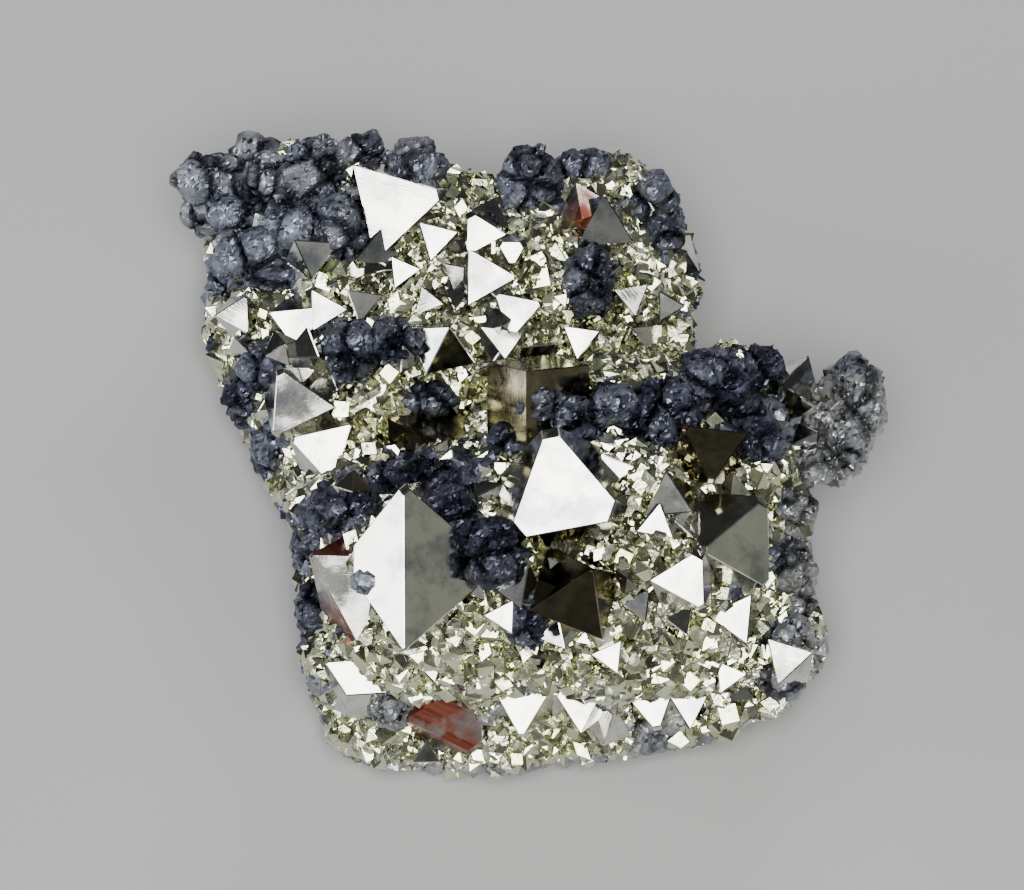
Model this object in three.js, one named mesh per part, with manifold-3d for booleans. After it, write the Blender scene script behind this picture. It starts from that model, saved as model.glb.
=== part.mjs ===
// A cluster of pyrite crystals with lumps of galena, lying on its flat broken base.
// Millimetres, +Z up. The origin is the middle of the footprint's box, on the surface it rests on.
import * as THREE from "three";
import { ConvexGeometry } from "three/addons/geometries/ConvexGeometry.js";
import { ImprovedNoise } from "three/addons/math/ImprovedNoise.js";
import { mergeVertices } from "three/addons/utils/BufferGeometryUtils.js";
import Module from "manifold-3d";

// Driving dimensions. The cluster is laid out in its display view: u to the right, v up the view
// and w towards the viewer, who looks down at VIEW_ELEVATION with +Y pointing away.
const VIEW_ELEVATION = 60;
const GRID_STEP = 4.0;
const GRID_HALF = 38;
const ROUGHNESS = 1.1;
const BLOCK_DEPTH = 90;
const SOCKET_GAP = 0.3;
const SMALLEST_LUMP = 12;
const FINEST_DETAIL = 0.4;
const FILL_CRYSTALS = 26;
const FILL_EDGE = [2.8, 4.8];
const FILL_MARGIN = 1.4;
const SEED = 11;

const SIN = Math.sin(THREE.MathUtils.degToRad(VIEW_ELEVATION));
const COS = Math.cos(THREE.MathUtils.degToRad(VIEW_ELEVATION));

// The matrix as seen in the display view: its outline, clockwise from the top left.
const OUTLINE = [
  [-34.0, 26.0], [-32.5, 29.5], [-29.0, 31.0], [-24.0, 31.0], [-19.0, 30.5], [-14.0, 30.0],
  [-9.0, 28.2], [-5.0, 27.0], [-2.0, 28.5], [3.0, 29.5], [7.5, 30.0], [10.0, 28.8],
  [12.0, 26.5], [13.8, 24.5], [15.0, 20.5], [15.5, 17.0], [14.6, 14.0], [14.6, 8.8],
  [16.5, 9.4], [19.0, 9.8], [23.0, 9.8], [23.6, 8.0], [23.8, 3.6], [25.2, 1.8],
  [27.2, 2.0], [28.6, 4.6], [29.4, 7.4], [30.8, 8.8], [32.2, 9.2], [33.4, 7.5],
  [33.6, 5.0], [32.4, 2.0], [31.0, -1.0], [29.5, -2.2], [27.2, -1.8], [25.5, -2.8],
  [26.0, -5.0], [25.8, -8.5], [26.5, -11.5], [26.3, -15.0], [27.5, -18.0], [27.5, -20.0],
  [25.0, -23.0], [23.0, -25.2], [19.5, -26.2], [16.0, -27.8], [13.0, -29.0], [8.0, -29.2],
  [2.0, -30.0], [-4.0, -30.8], [-11.0, -30.8], [-17.0, -30.2], [-20.0, -28.8], [-21.2, -25.5],
  [-22.8, -20.5], [-23.5, -15.0], [-23.7, -10.0], [-24.0, -7.0], [-25.5, -5.5], [-27.8, -2.0],
  [-30.0, 4.0], [-31.8, 8.0], [-33.5, 12.0], [-33.8, 17.0], [-33.7, 21.5],
];

// Spot heights of the matrix above the base: [u, v, height].
const SPOT_HEIGHTS = [
  // The upper shelf, from its far edge to the valley.
  [-31, 28, 17], [-24, 29, 20], [-16, 28.5, 21], [-9, 27, 19], [-2, 27, 20], [6, 28, 20],
  [12, 24, 17], [15, 17, 14], [-29, 23, 17], [-21, 22, 20], [-12, 21, 22], [-4, 20, 22],
  [4, 21, 21], [10, 19, 18], [-18, 13, 20], [-12, 11, 21], [-6, 12, 19], [2, 12, 17],
  [8, 13, 15], [12, 11, 12],
  // The left side, falling to the base.
  [-33.4, 20, 6], [-33.5, 14, 4], [-31.5, 8, 4], [-29.5, 3, 3], [-27, -2, 3], [-25, -5.5, 3],
  [-30, 14, 15], [-26, 11, 17], [-27, 6, 13], [-24, 4, 17], [-22, -1, 16], [-24, -2, 12],
  // The valley between the shelves.
  [-9, 3, 15], [-4, 5, 12], [2, 7.5, 11], [8, 9, 10], [13, 8, 9], [-14, 0, 14],
  // The crest of the lower shelf.
  [-21, -5.5, 20], [-17, -4, 23], [-11, -2, 25], [-5, -1.5, 24], [0, 4, 26], [6, 4.5, 27],
  [11, 6, 27], [16, 7.5, 26], [20, 8.5, 24],
  // The lower shelf.
  [-19, -10, 24], [-12, -10, 28], [-6, -8, 28], [2, -4, 29], [10, -2, 29], [16, 0, 28],
  [22, -1, 25], [-20, -16, 21], [-12, -16, 25], [-4, -14, 26], [4, -12, 27], [12, -10, 27],
  [20, -10, 24], [25, -10, 18],
  // Its near side, falling to the base.
  [-20, -22, 15], [-12, -22, 17], [-4, -21, 19], [6, -20, 20], [16, -19, 18], [23, -20, 14],
  [26.5, -19, 10], [-19, -28, 5], [-11, -28, 7], [-2, -28, 7], [8, -27, 8], [16, -25.5, 9],
  [22, -24, 8], [-10, -30.8, 2], [2, -30, 2.5], [12, -29, 3], [-23.2, -10, 8], [-23.4, -14, 6],
  [-22.8, -19, 4], [-21, -26, 3],
  // The arm at the right and the hollow beside it.
  [25, 1, 20], [29, 0, 21], [32.5, 6, 22], [33.5, 7, 21], [30.5, 2, 21], [26, -3, 20],
  [26, 5, 14], [28.5, 6, 13], [23.5, 6, 15], [26, -6, 16], [26.3, -14, 12],
];

// Flat breaks that shape the back and the underside of the arm: a point on each and its outward side.
const BREAKS = [
  { point: [0, 28.5, 0], out: [0.04, 1, 0.1] },
  { point: [-32, 27.5, 0], out: [-0.55, 0.85, 0.1] },
  { point: [15, 24, 0], out: [0.6, 0.8, 0.05] },
  { point: [22, 0, 0], out: [0.8, 0.1, -0.6] },
  { point: [34, -2, 14], out: [0.8, 0.59, -0.3] },
  { point: [-34, 0, 0], out: [-1, 0.05, -0.1] },
];

// Octahedra placed by one face: the three corners of the face nearest the viewer, how far its middle
// stands above the matrix, and how much each corner is cut. A face with a tilt is the equal-sided
// triangle nearest to its corners, leaning that many degrees to the right and up the view. Without
// one it leans as far as its shortened sides say, one way or the other.
const FACE_CRYSTALS = [
  // The upper shelf.
  { face: [[-18.9, 29.4], [-9.3, 26.4], [-16.5, 19.5]], rise: 3.2, tilt: [-3, 4], cut: [0.02, 0.12, 0.14] },
  { face: [[-7.2, 24.8], [-3.4, 22.2], [-7.4, 19.8]], rise: 1.8, tilt: [4, -2], cut: [0.2, 0, 0.15] },
  { face: [[-4.4, 21.4], [-1.2, 21.4], [-2.8, 18.6]], rise: 1.8, tilt: [-5, -3], cut: [0.2, 0.25, 0.2] },
  { face: [[-7.4, 20.6], [-2.2, 17.6], [-7.2, 15.0]], rise: 1.8, tilt: [2, 5], cut: [0, 0.05, 0] },
  { face: [[-4.4, 16.4], [0.2, 15.4], [-3.0, 11.2]], rise: 1.9, tilt: [-4, 3], cut: [0.05, 0.1, 0.1] },
  { face: [[-12.2, 23.4], [-8.2, 22.4], [-11.0, 19.4]], rise: 1.8, tilt: [5, 0] },
  { face: [[-9.6, 19.4], [-6.9, 18.6], [-8.6, 16.2]], rise: 1.4, tilt: [-8, 2] },
  { face: [[-13.2, 12.6], [-9.0, 12.7], [-11.4, 8.0]], rise: 1.8, lean: 1 },
  { face: [[-7.2, 24.8], [-3.4, 26.6], [-3.2, 22.6]], rise: 1.0, lean: -1, cut: [0, 0.1, 0.1] },
  { face: [[1.2, 23.2], [3.6, 27.6], [4.2, 23.6]], rise: 1.6, lean: 1 },
  { face: [[3.8, 21.0], [6.6, 26.4], [9.6, 21.2]], rise: 2.2, tilt: [14, -12] },
  { face: [[9.2, 23.4], [10.4, 27.0], [12.6, 23.2]], rise: 1.4, lean: 1 },
  { face: [[11.8, 21.6], [15.0, 20.6], [12.8, 17.8]], rise: 1.2, lean: 1 },
  { face: [[2.4, 13.0], [6.0, 12.4], [3.8, 9.4]], rise: 1.8, tilt: [0, 4] },
  { face: [[-2.8, 10.6], [2.0, 11.0], [-0.2, 7.4]], rise: 1.6, tilt: [8, -14] },
  { face: [[-19.4, 16.6], [-15.8, 16.0], [-18.2, 13.0]], rise: 1.6, tilt: [-10, 10] },
  { face: [[-15.0, 20.0], [-12.0, 18.6], [-14.6, 16.6]], rise: 1.5, tilt: [6, -4] },
  { face: [[-12.0, 17.0], [-9.6, 15.0], [-12.4, 14.0]], rise: 1.4, tilt: [-6, 6] },
  { face: [[-15.6, 25.0], [-12.6, 17.4], [-17.8, 19.8]], rise: 0.4, tilt: [18, 8] },
  { face: [[7.6, 16.6], [11.0, 17.4], [9.6, 13.8]], rise: 1.5, tilt: [4, 6] },
  { face: [[12.2, 16.6], [14.8, 15.0], [12.2, 13.4]], rise: 1.2, tilt: [10, -4] },
  // The left side.
  { face: [[-33.1, 14.0], [-29.6, 16.2], [-29.5, 12.1]], rise: 2.0, tilt: [-6, 2], cut: [0, 0.1, 0.08] },
  { face: [[-27.4, 14.4], [-22.0, 14.9], [-24.2, 9.8]], rise: 2.2, tilt: [-3, -4], cut: [0.05, 0.15, 0.05] },
  { face: [[-23.2, 16.6], [-19.2, 14.4], [-22.8, 12.6]], rise: 1.6, tilt: [-5, 0] },
  { face: [[-26.6, 8.8], [-20.4, 4.4], [-26.6, 1.8]], rise: 2.4, tilt: [-7, -3], cut: [0.12, 0.02, 0.1] },
  { face: [[-25.0, 1.6], [-18.8, 3.2], [-20.8, -3.4]], rise: 2.6, tilt: [-5, 3], cut: [0.1, 0.05, 0.08] },
  { face: [[-24.2, 8.2], [-22.2, 9.0], [-22.4, 6.6]], rise: 1.2, tilt: [-4, 4] },
  // The valley and the crest.
  { face: [[9.3, 12.8], [14.2, 13.4], [12.4, 8.0]], rise: 2.4, lean: -1 },
  { face: [[-15.4, 3.6], [-6.8, 5.0], [-7.6, -0.4]], rise: 2.6, lean: -1, cut: [0, 0.08, 0.05] },
  { face: [[-17.8, 0.4], [-13.6, 1.2], [-15.2, -2.8]], rise: 2.0, tilt: [2, 0], cut: [0.1, 0.2, 0.25] },
  { face: [[-10.4, -0.8], [-8.8, 0.6], [-8.4, -1.6]], rise: 1.2, tilt: [4, 2] },
  { face: [[-6.4, -4.2], [-3.6, -2.8], [-4.0, -6.2]], rise: 1.4, lean: -1 },
  // The lower shelf.
  { face: [[0.7, 3.2], [8.6, -6.2], [-3.3, -8.4]], rise: 3.6, tilt: [-2, 5], cut: [0.14, 0.18, 0.16] },
  { face: [[-22.8, -9.8], [-17.8, -18.8], [-12.6, -10.0]], rise: 1.4, tilt: [-7, -2], cut: [0.04, 0.06, 0] },
  { face: [[-21.4, -20.6], [-13.2, -20], [-17, -26.8]], rise: 1.6, tilt: [-3, 3], cut: [0.04, 0.06, 0.5] },
  { face: [[-13.8, -26.2], [-5.6, -21.6], [-5.6, -29.8]], rise: 3, tilt: [9, -13], cut: [0.05, 0.2, 0.2] },
  { face: [[-5.0, -22.2], [1.3, -22.5], [-1.8, -28.0]], rise: 2.6, tilt: [0, -3], cut: [0, 0.02, 0.08] },
  { face: [[1.4, -23.2], [6.2, -22.8], [3.9, -27.6]], rise: 2.4, tilt: [4, 2], cut: [0.15, 0.15, 0.02] },
  { face: [[8.2, -23.6], [13.4, -22.6], [11.6, -27.6]], rise: 2.2, tilt: [-3, 0], cut: [0, 0.05, 0.15] },
  { face: [[12.6, -23.8], [16.8, -23.6], [14.8, -27.2]], rise: 1.6, tilt: [3, 3] },
  { face: [[-1.2, -15.2], [5.0, -11.0], [6.0, -18.0]], rise: 2.4, lean: 1, cut: [0, 0.05, 0] },
  { face: [[10.6, -12.2], [15.6, -9.0], [15.8, -15.2]], rise: 2.8, tilt: [5, 0], cut: [0.02, 0.2, 0.1] },
  { face: [[15.6, -9.4], [22.2, -4.0], [22.4, -13.2]], rise: 2.6, lean: -1, cut: [0.08, 0.14, 0.1] },
  { face: [[16.3, -15.9], [20.8, -13.7], [20.2, -18.6]], rise: 2.0, tilt: [2, -3] },
  { face: [[15.1, -4.2], [19.0, -1.8], [18.4, -6.4]], rise: 1.8, lean: 1 },
  { face: [[10.0, -6.0], [12.2, -1.6], [14.8, -5.6]], rise: 2.0, lean: -1 },
  { face: [[13.8, 2.8], [20.4, 2.2], [16.6, -3.0]], rise: 1.8, tilt: [10, 16], cut: [0.1, 0, 0.1] },
  { face: [[6.0, 0.2], [9.0, -1.2], [6.4, -3.8]], rise: 1.6, tilt: [6, 4] },
  { face: [[9.0, -7.4], [11.6, -5.0], [13.2, -8.0]], rise: 1.6, tilt: [-4, -4] },
  { face: [[0.6, -10.0], [3.6, -11.0], [1.2, -13.2]], rise: 1.4, lean: 1 },
  { face: [[-12.4, -20.2], [-9.4, -19.4], [-10.4, -22.4]], rise: 1.4, tilt: [6, 2] },
  { face: [[7.6, -14.4], [10.6, -13.2], [10.2, -16.4]], rise: 1.4, lean: 1 },
  { face: [[4.8, -19.4], [7.8, -18.2], [7.6, -21.4]], rise: 1.4, tilt: [-4, 4] },
  { face: [[17.4, -20.4], [20.4, -21.6], [17.6, -23.6]], rise: 1.4, tilt: [0, 5] },
  { face: [[-5.6, -15.6], [-2.6, -14.0], [-2.8, -17.4]], rise: 1.4, tilt: [-6, -2] },
  // The arm.
  { face: [[24.2, 7.0], [27.2, 10.0], [28.6, 4.4]], rise: 2.4, lean: -1 },
  { face: [[24.6, 0.8], [27.6, 2.2], [27.4, -1.0]], rise: 1.2, lean: 1 },
];

// The largest crystal, longer one way than a true octahedron: its middle, and three arms from
// there to a corner, each with an equal one opposite.
const LARGEST_CRYSTAL = {
  at: [-11.7, -10.7],
  rise: -1.0,
  arms: [[-1.55, 7.9, 5.6], [-1.5, -8.3, 5.6], [-7.7, 0.3, 0.5]],
  cut: [0.07, 0.02, 0.2, 0, 0, 0.08],
};

// A cube in the valley with one edge towards the viewer: middle, edge length, and turns about v and u.
const VALLEY_CUBE = { at: [-0.2, 5.4], rise: 4.4, edge: 7.4, turn: [32, 10] };

// Galena lumps: [u, v, half width, half height, how far the middle stands above the matrix].
const LUMPS = [
  // The far left corner.
  [-33.8, 28.2, 4.0, 2.6, 0.5], [-34.6, 24.6, 2.2, 2.4, -0.5], [-29.2, 31.0, 2.6, 2.0, 0.4],
  [-27.4, 27.6, 3.4, 2.8, 1.0], [-22.8, 28.8, 3.6, 3.4, 1.2], [-24.6, 23.6, 3.4, 3.4, 1.6],
  [-20.2, 22.6, 3.0, 3.8, 0.2], [-29.0, 20.6, 4.0, 2.8, 0.2], [-31.0, 24.4, 3.0, 2.6, 0.2],
  [-27.0, 17.8, 3.0, 1.8, 0.4], [-32.0, 18.4, 2.2, 3.0, 0.0],
  // The far edge.
  [-18.0, 30.8, 2.6, 2.0, 0.2], [-12.8, 29.2, 3.6, 2.6, 0.6], [-1.0, 27.6, 3.4, 3.4, 1.4],
  [4.4, 29.2, 3.2, 1.6, 0.6], [11.5, 26.0, 2.6, 2.8, 0.8], [12.8, 22.4, 1.9, 2.4, 0.6],
  [5.0, 17.4, 2.5, 3.6, 1.6],
  // The middle of the upper shelf and its left side.
  [-18.8, 10.4, 2.8, 2.8, 1.6], [-14.8, 11.2, 2.2, 2.2, 1.2], [-11.0, 5.6, 2.6, 1.8, 0.8],
  [-27.8, 8.6, 2.6, 2.6, 0.2], [-30.0, 5.6, 2.0, 3.0, 0.2], [-27.2, 0.4, 2.0, 2.8, 0.0],
  // The crest of the lower shelf.
  [-19.4, -5.8, 3.8, 2.0, 1.6], [-14.8, -2.4, 2.6, 1.8, 0.6], [-10.8, -2.4, 3.2, 2.4, 1.0],
  [-9.2, -5.8, 3.2, 2.6, 5.4], [-4.4, -9.6, 2.6, 3.2, 2.4], [0.2, 4.8, 2.4, 2.2, 1.2],
  [4.2, 3.2, 3.2, 2.6, 1.4], [7.4, 4.6, 2.4, 2.2, 1.2], [-2.4, 1.2, 2.4, 2.0, 1.0],
  [12.0, 3.6, 3.8, 3.6, 1.4], [17.0, 7.0, 3.6, 2.8, 1.2], [22.0, 8.6, 2.4, 1.8, 0.8],
  [20.0, 3.8, 2.8, 2.4, 1.4], [21.6, 0.8, 2.6, 2.4, 1.6],
  // The arm and the right rim.
  [32.0, 7.2, 2.0, 2.3, 0.6], [32.2, 4.0, 2.0, 2.6, 0.6], [30.2, 0.8, 2.3, 2.2, 0.6],
  [27.0, -1.4, 2.4, 1.6, 0.6], [24.9, -5.0, 2.4, 2.4, 0.6], [24.6, -10.4, 2.2, 2.8, 0.8],
  [25.6, -14.6, 1.8, 2.4, 0.4], [24.4, -18.2, 2.8, 2.2, 0.6], [23.8, -22.2, 2.4, 2.0, 0.2],
  // The near side.
  [-1.4, -16.4, 1.8, 2.6, 1.8], [11.2, -27.8, 2.4, 1.8, 0.4], [-14.8, -25.2, 1.9, 1.9, 0.8],
  [-22.8, -9.2, 1.6, 2.6, 0.6], [-22.6, -15.4, 1.5, 2.6, 0.6],
];

const PYRITE = new THREE.MeshStandardMaterial({ color: 0xcbbf94, metalness: 1, roughness: 0.15 });
const GALENA = new THREE.MeshStandardMaterial({ color: 0x6f7686, metalness: 1, roughness: 0.45 });

const wasm = await Module();
wasm.setup();
const perlin = new ImprovedNoise();

// A repeatable random number from 0 to 1.
function makeRandom(seed) {
  let state = seed;
  return () => {
    state = (state + 0x6d2b79f5) | 0;
    let t = Math.imul(state ^ (state >>> 15), 1 | state);
    t = (t + Math.imul(t ^ (t >>> 7), 61 | t)) ^ t;
    return ((t ^ (t >>> 14)) >>> 0) / 4294967296;
  };
}

// A point of the display view in the cluster's own frame.
function fromView(u, v, w) {
  return new THREE.Vector3(u, v * SIN - w * COS, v * COS + w * SIN);
}

function solidOf(geometry) {
  const flat = geometry.index ? geometry.toNonIndexed() : geometry;
  const bare = new THREE.BufferGeometry();
  bare.setAttribute("position", flat.getAttribute("position"));
  const merged = mergeVertices(bare, 1e-4);
  return new wasm.Manifold(
    new wasm.Mesh({
      numProp: 3,
      vertProperties: merged.attributes.position.array,
      triVerts: new Uint32Array(merged.index.array),
    }),
  );
}

function geometryOf(solid) {
  const mesh = solid.getMesh();
  const geometry = new THREE.BufferGeometry();
  geometry.setAttribute("position", new THREE.BufferAttribute(mesh.vertProperties, 3));
  geometry.setIndex(new THREE.BufferAttribute(mesh.triVerts, 1));
  geometry.computeVertexNormals();
  return geometry;
}

// The height of the matrix above the base at a point of the view, blended from the spot heights.
function heightAt(u, v) {
  let total = 0;
  let weights = 0;
  for (const [su, sv, height] of SPOT_HEIGHTS) {
    const weight = 1 / ((u - su) ** 2 + (v - sv) ** 2 + 0.6) ** 1.6;
    total += weight * height;
    weights += weight;
  }
  return total / weights;
}

// How far the matrix reaches towards the viewer.
function depthAt(u, v) {
  return (heightAt(u, v) - v * COS) / SIN;
}

function roughDepthAt(u, v) {
  const coarse = perlin.noise(u * 0.21, v * 0.21, 3.7);
  const fine = perlin.noise(u * 0.55, v * 0.55, 8.1);
  return depthAt(u, v) + ROUGHNESS * (coarse + 0.6 * fine);
}

// The rough surface facing the viewer, closed by a flat back far behind it.
function surfaceBlock() {
  const count = Math.round((2 * GRID_HALF) / GRID_STEP);
  const at = (i, j) => {
    const u = -GRID_HALF + i * GRID_STEP;
    const v = -GRID_HALF + j * GRID_STEP;
    return fromView(u, v, roughDepthAt(u, v));
  };
  const back = (i, j) => fromView(-GRID_HALF + i * GRID_STEP, -GRID_HALF + j * GRID_STEP, -BLOCK_DEPTH);
  const points = [];
  const triangle = (a, b, c) => points.push(a, b, c);
  const quad = (a, b, c, d) => {
    triangle(a, b, c);
    triangle(a, c, d);
  };
  for (let i = 0; i < count; i += 1) {
    for (let j = 0; j < count; j += 1) {
      quad(at(i, j), at(i + 1, j), at(i + 1, j + 1), at(i, j + 1));
    }
  }
  for (let k = 0; k < count; k += 1) {
    quad(back(k, 0), back(k + 1, 0), at(k + 1, 0), at(k, 0));
    quad(back(k + 1, count), back(k, count), at(k, count), at(k + 1, count));
    quad(back(0, k + 1), back(0, k), at(0, k), at(0, k + 1));
    quad(back(count, k), back(count, k + 1), at(count, k + 1), at(count, k));
  }
  for (let i = 0; i < count; i += 1) {
    for (let j = 0; j < count; j += 1) {
      quad(back(i, j), back(i, j + 1), back(i + 1, j + 1), back(i + 1, j));
    }
  }
  return solidOf(new THREE.BufferGeometry().setFromPoints(points));
}

// A prism of the outline, running along the line of sight.
function outlinePrism() {
  const shape = new THREE.Shape(OUTLINE.map(([u, v]) => new THREE.Vector2(u, v)));
  const prism = new THREE.ExtrudeGeometry(shape, { depth: 2 * BLOCK_DEPTH, bevelEnabled: false });
  prism.translate(0, 0, -BLOCK_DEPTH);
  prism.rotateX(THREE.MathUtils.degToRad(90 - VIEW_ELEVATION));
  return solidOf(prism);
}

// Everything on the outward side of a plane, as one large box.
function beyondPlane(point, out) {
  const size = 4 * GRID_HALF;
  const box = new THREE.BoxGeometry(size, size, size);
  box.translate(0, 0, size / 2);
  const turn = new THREE.Quaternion();
  turn.setFromUnitVectors(new THREE.Vector3(0, 0, 1), new THREE.Vector3(...out).normalize());
  box.applyQuaternion(turn);
  box.translate(...point);
  return solidOf(box);
}

// The depths of an equal-sided triangle's corners b and c behind corner a, from how it looks.
function cornerDepths([a, b, c], lean) {
  const ab = [b[0] - a[0], b[1] - a[1]];
  const ac = [c[0] - a[0], c[1] - a[1]];
  const abSquare = ab[0] ** 2 + ab[1] ** 2;
  const acSquare = ac[0] ** 2 + ac[1] ** 2;
  const dot = ab[0] * ac[0] + ab[1] * ac[1];
  const sum = abSquare + acSquare - dot;
  const root = Math.sqrt(Math.max(0, sum ** 2 - 3 * (abSquare * acSquare - dot ** 2)));
  const edgeSquare = (sum + root) / 1.5;
  const depthB = lean * Math.sqrt(Math.max(0, edgeSquare - abSquare));
  const sign = edgeSquare / 2 - dot >= 0 ? 1 : -1;
  const depthC = lean * sign * Math.sqrt(Math.max(0, edgeSquare - acSquare));
  return [0, depthB, depthC];
}

// The corners of a face that leans as far as its shortened sides say, with its middle at a depth.
function leaningFace(face, lean, middleDepth) {
  const depths = cornerDepths(face, lean);
  const middle = (depths[0] + depths[1] + depths[2]) / 3;
  return face.map(([u, v], i) => new THREE.Vector3(u, v, middleDepth + depths[i] - middle));
}

// The corners of the equal-sided triangle nearest to a face's, leaning to the right and up the view.
function tiltedFace(face, tilt, middleDepth) {
  const middle = faceMiddle(face);
  const arms = face.map(([u, v]) => new THREE.Vector2(u - middle[0], v - middle[1]));
  const radius = (arms[0].length() + arms[1].length() + arms[2].length()) / 3;
  const step = (Math.sign(arms[0].cross(arms[1])) * 2 * Math.PI) / 3;
  const mean = new THREE.Vector2();
  arms.forEach((arm, i) => mean.add(arm.rotateAround(new THREE.Vector2(), -i * step)));
  const [right, up] = tilt.map(THREE.MathUtils.degToRad);
  return arms.map((_, i) => {
    const corner = new THREE.Vector3(radius, 0, 0);
    corner.applyAxisAngle(new THREE.Vector3(0, 0, 1), mean.angle() + i * step);
    corner.applyAxisAngle(new THREE.Vector3(0, 1, 0), right);
    corner.applyAxisAngle(new THREE.Vector3(1, 0, 0), -up);
    return corner.add(new THREE.Vector3(...middle, middleDepth));
  });
}

// An octahedron's corners in the view: the three of its nearest face, then the three opposite.
function octahedronCorners(front) {
  const centroid = new THREE.Vector3();
  front.forEach((corner) => centroid.addScaledVector(corner, 1 / 3));
  const normal = new THREE.Triangle(...front).getNormal(new THREE.Vector3());
  if (normal.z < 0) {
    normal.negate();
  }
  const edge = front[0].distanceTo(front[1]);
  const centre = centroid.addScaledVector(normal, -edge / Math.sqrt(6));
  return [...front, ...front.map((corner) => centre.clone().multiplyScalar(2).sub(corner))];
}

// Cuts a corner off an octahedron: the corner gives way to a point on each of its four edges.
function cutCorner(corners, index, share) {
  const opposite = (index + 3) % 6;
  const neighbours = corners.filter((_, i) => i !== index && i !== opposite);
  return neighbours.map((end) => corners[index].clone().lerp(end, share));
}

function crystalSolid(corners, cut = []) {
  const points = corners.flatMap((corner, i) => (cut[i] ? cutCorner(corners, i, cut[i]) : [corner]));
  return solidOf(new ConvexGeometry(points.map((p) => fromView(p.x, p.y, p.z))));
}

function faceMiddle(face) {
  return [0, 1].map((axis) => (face[0][axis] + face[1][axis] + face[2][axis]) / 3);
}

function faceCrystal({ face, rise, lean, tilt, cut }) {
  const depth = depthAt(...faceMiddle(face)) + rise;
  const front = tilt ? tiltedFace(face, tilt, depth) : leaningFace(face, lean, depth);
  return crystalSolid(octahedronCorners(front), cut);
}

function longCrystal({ at, rise, arms, cut }) {
  const centre = new THREE.Vector3(...at, depthAt(...at) + rise);
  const spokes = arms.map((arm) => new THREE.Vector3(...arm));
  const front = spokes.map((spoke) => centre.clone().add(spoke));
  const rear = spokes.map((spoke) => centre.clone().sub(spoke));
  return crystalSolid([...front, ...rear], cut);
}

function valleyCube({ at, rise, edge, turn }) {
  const box = new THREE.BoxGeometry(edge, edge, edge);
  box.rotateY(THREE.MathUtils.degToRad(turn[0]));
  box.rotateX(THREE.MathUtils.degToRad(turn[1]));
  box.translate(at[0], at[1], depthAt(...at) + rise - edge / 2);
  box.rotateX(THREE.MathUtils.degToRad(90 - VIEW_ELEVATION));
  return solidOf(box);
}

// True where a point of the view is inside a face or within the margin of it.
function nearFace(point, face, margin) {
  const middle = faceMiddle(face);
  const grown = face.map((corner) => {
    const reach = Math.hypot(corner[0] - middle[0], corner[1] - middle[1]);
    const scale = 1 + margin / reach;
    return new THREE.Vector3(
      middle[0] + (corner[0] - middle[0]) * scale,
      middle[1] + (corner[1] - middle[1]) * scale,
      0,
    );
  });
  return new THREE.Triangle(...grown).containsPoint(new THREE.Vector3(...point, 0));
}

function insideOutline(point, inset) {
  const nudges = [[inset, 0], [-inset, 0], [0, inset], [0, -inset]];
  return nudges.every(([du, dv]) => {
    let inside = false;
    for (let i = 0, j = OUTLINE.length - 1; i < OUTLINE.length; j = i, i += 1) {
      const [ui, vi] = OUTLINE[i];
      const [uj, vj] = OUTLINE[j];
      const [u, v] = [point[0] + du, point[1] + dv];
      if (vi > v !== vj > v && u < ((uj - ui) * (v - vi)) / (vj - vi) + ui) {
        inside = !inside;
      }
    }
    return inside;
  });
}

function nearLump(point) {
  return LUMPS.some(([u, v, halfWidth, halfHeight]) => {
    return ((point[0] - u) / halfWidth) ** 2 + ((point[1] - v) / halfHeight) ** 2 < 0.8;
  });
}

// Smaller octahedra at any angle, in the space that the large ones and the lumps leave.
function fillCrystals() {
  const random = makeRandom(SEED);
  const made = [];
  while (made.length < FILL_CRYSTALS) {
    const point = [(random() * 2 - 1) * GRID_HALF, (random() * 2 - 1) * GRID_HALF];
    const edge = THREE.MathUtils.lerp(...FILL_EDGE, random() ** 2);
    const parts = [random() - 0.5, random() - 0.5, random() - 0.5, random() - 0.5];
    const spin = new THREE.Quaternion(...parts).normalize();
    const covered = FACE_CRYSTALS.some(({ face }) => nearFace(point, face, FILL_MARGIN));
    if (!insideOutline(point, 1.2) || covered || nearLump(point)) {
      continue;
    }
    const centre = new THREE.Vector3(...point, depthAt(...point) + 0.1 * edge);
    const reach = edge / Math.SQRT2;
    const axes = [[reach, 0, 0], [0, reach, 0], [0, 0, reach]];
    const arms = axes.map((axis) => new THREE.Vector3(...axis).applyQuaternion(spin));
    const front = arms.map((arm) => centre.clone().add(arm));
    const rear = arms.map((arm) => centre.clone().sub(arm));
    made.push(crystalSolid([...front, ...rear]));
  }
  return made;
}

// A lump: a rounded, knobbly ball, flatter than it is wide where its two half sizes differ.
function lumpSolid([u, v, halfWidth, halfHeight, rise], grow) {
  const ball = new THREE.DodecahedronGeometry(1);
  const position = ball.getAttribute("position");
  const depth = Math.min(halfWidth, halfHeight, 2.6);
  const corner = new THREE.Vector3();
  for (let i = 0; i < position.count; i += 1) {
    corner.fromBufferAttribute(position, i).normalize();
    const knob = 1.05 + 0.34 * perlin.noise(corner.x * 1.7 + u, corner.y * 1.7 + v, corner.z * 1.7);
    corner.multiplyScalar(knob);
    position.setXYZ(
      i,
      corner.x * (halfWidth + grow),
      corner.y * (halfHeight + grow),
      corner.z * (depth + grow),
    );
  }
  ball.translate(u, v, depthAt(u, v) + rise);
  ball.rotateX(THREE.MathUtils.degToRad(90 - VIEW_ELEVATION));
  return solidOf(ball);
}

function joined(solids) {
  return wasm.Manifold.union(solids);
}

function largestBody(solid) {
  return solid.decompose().sort((a, b) => b.volume() - a.volume())[0];
}

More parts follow.
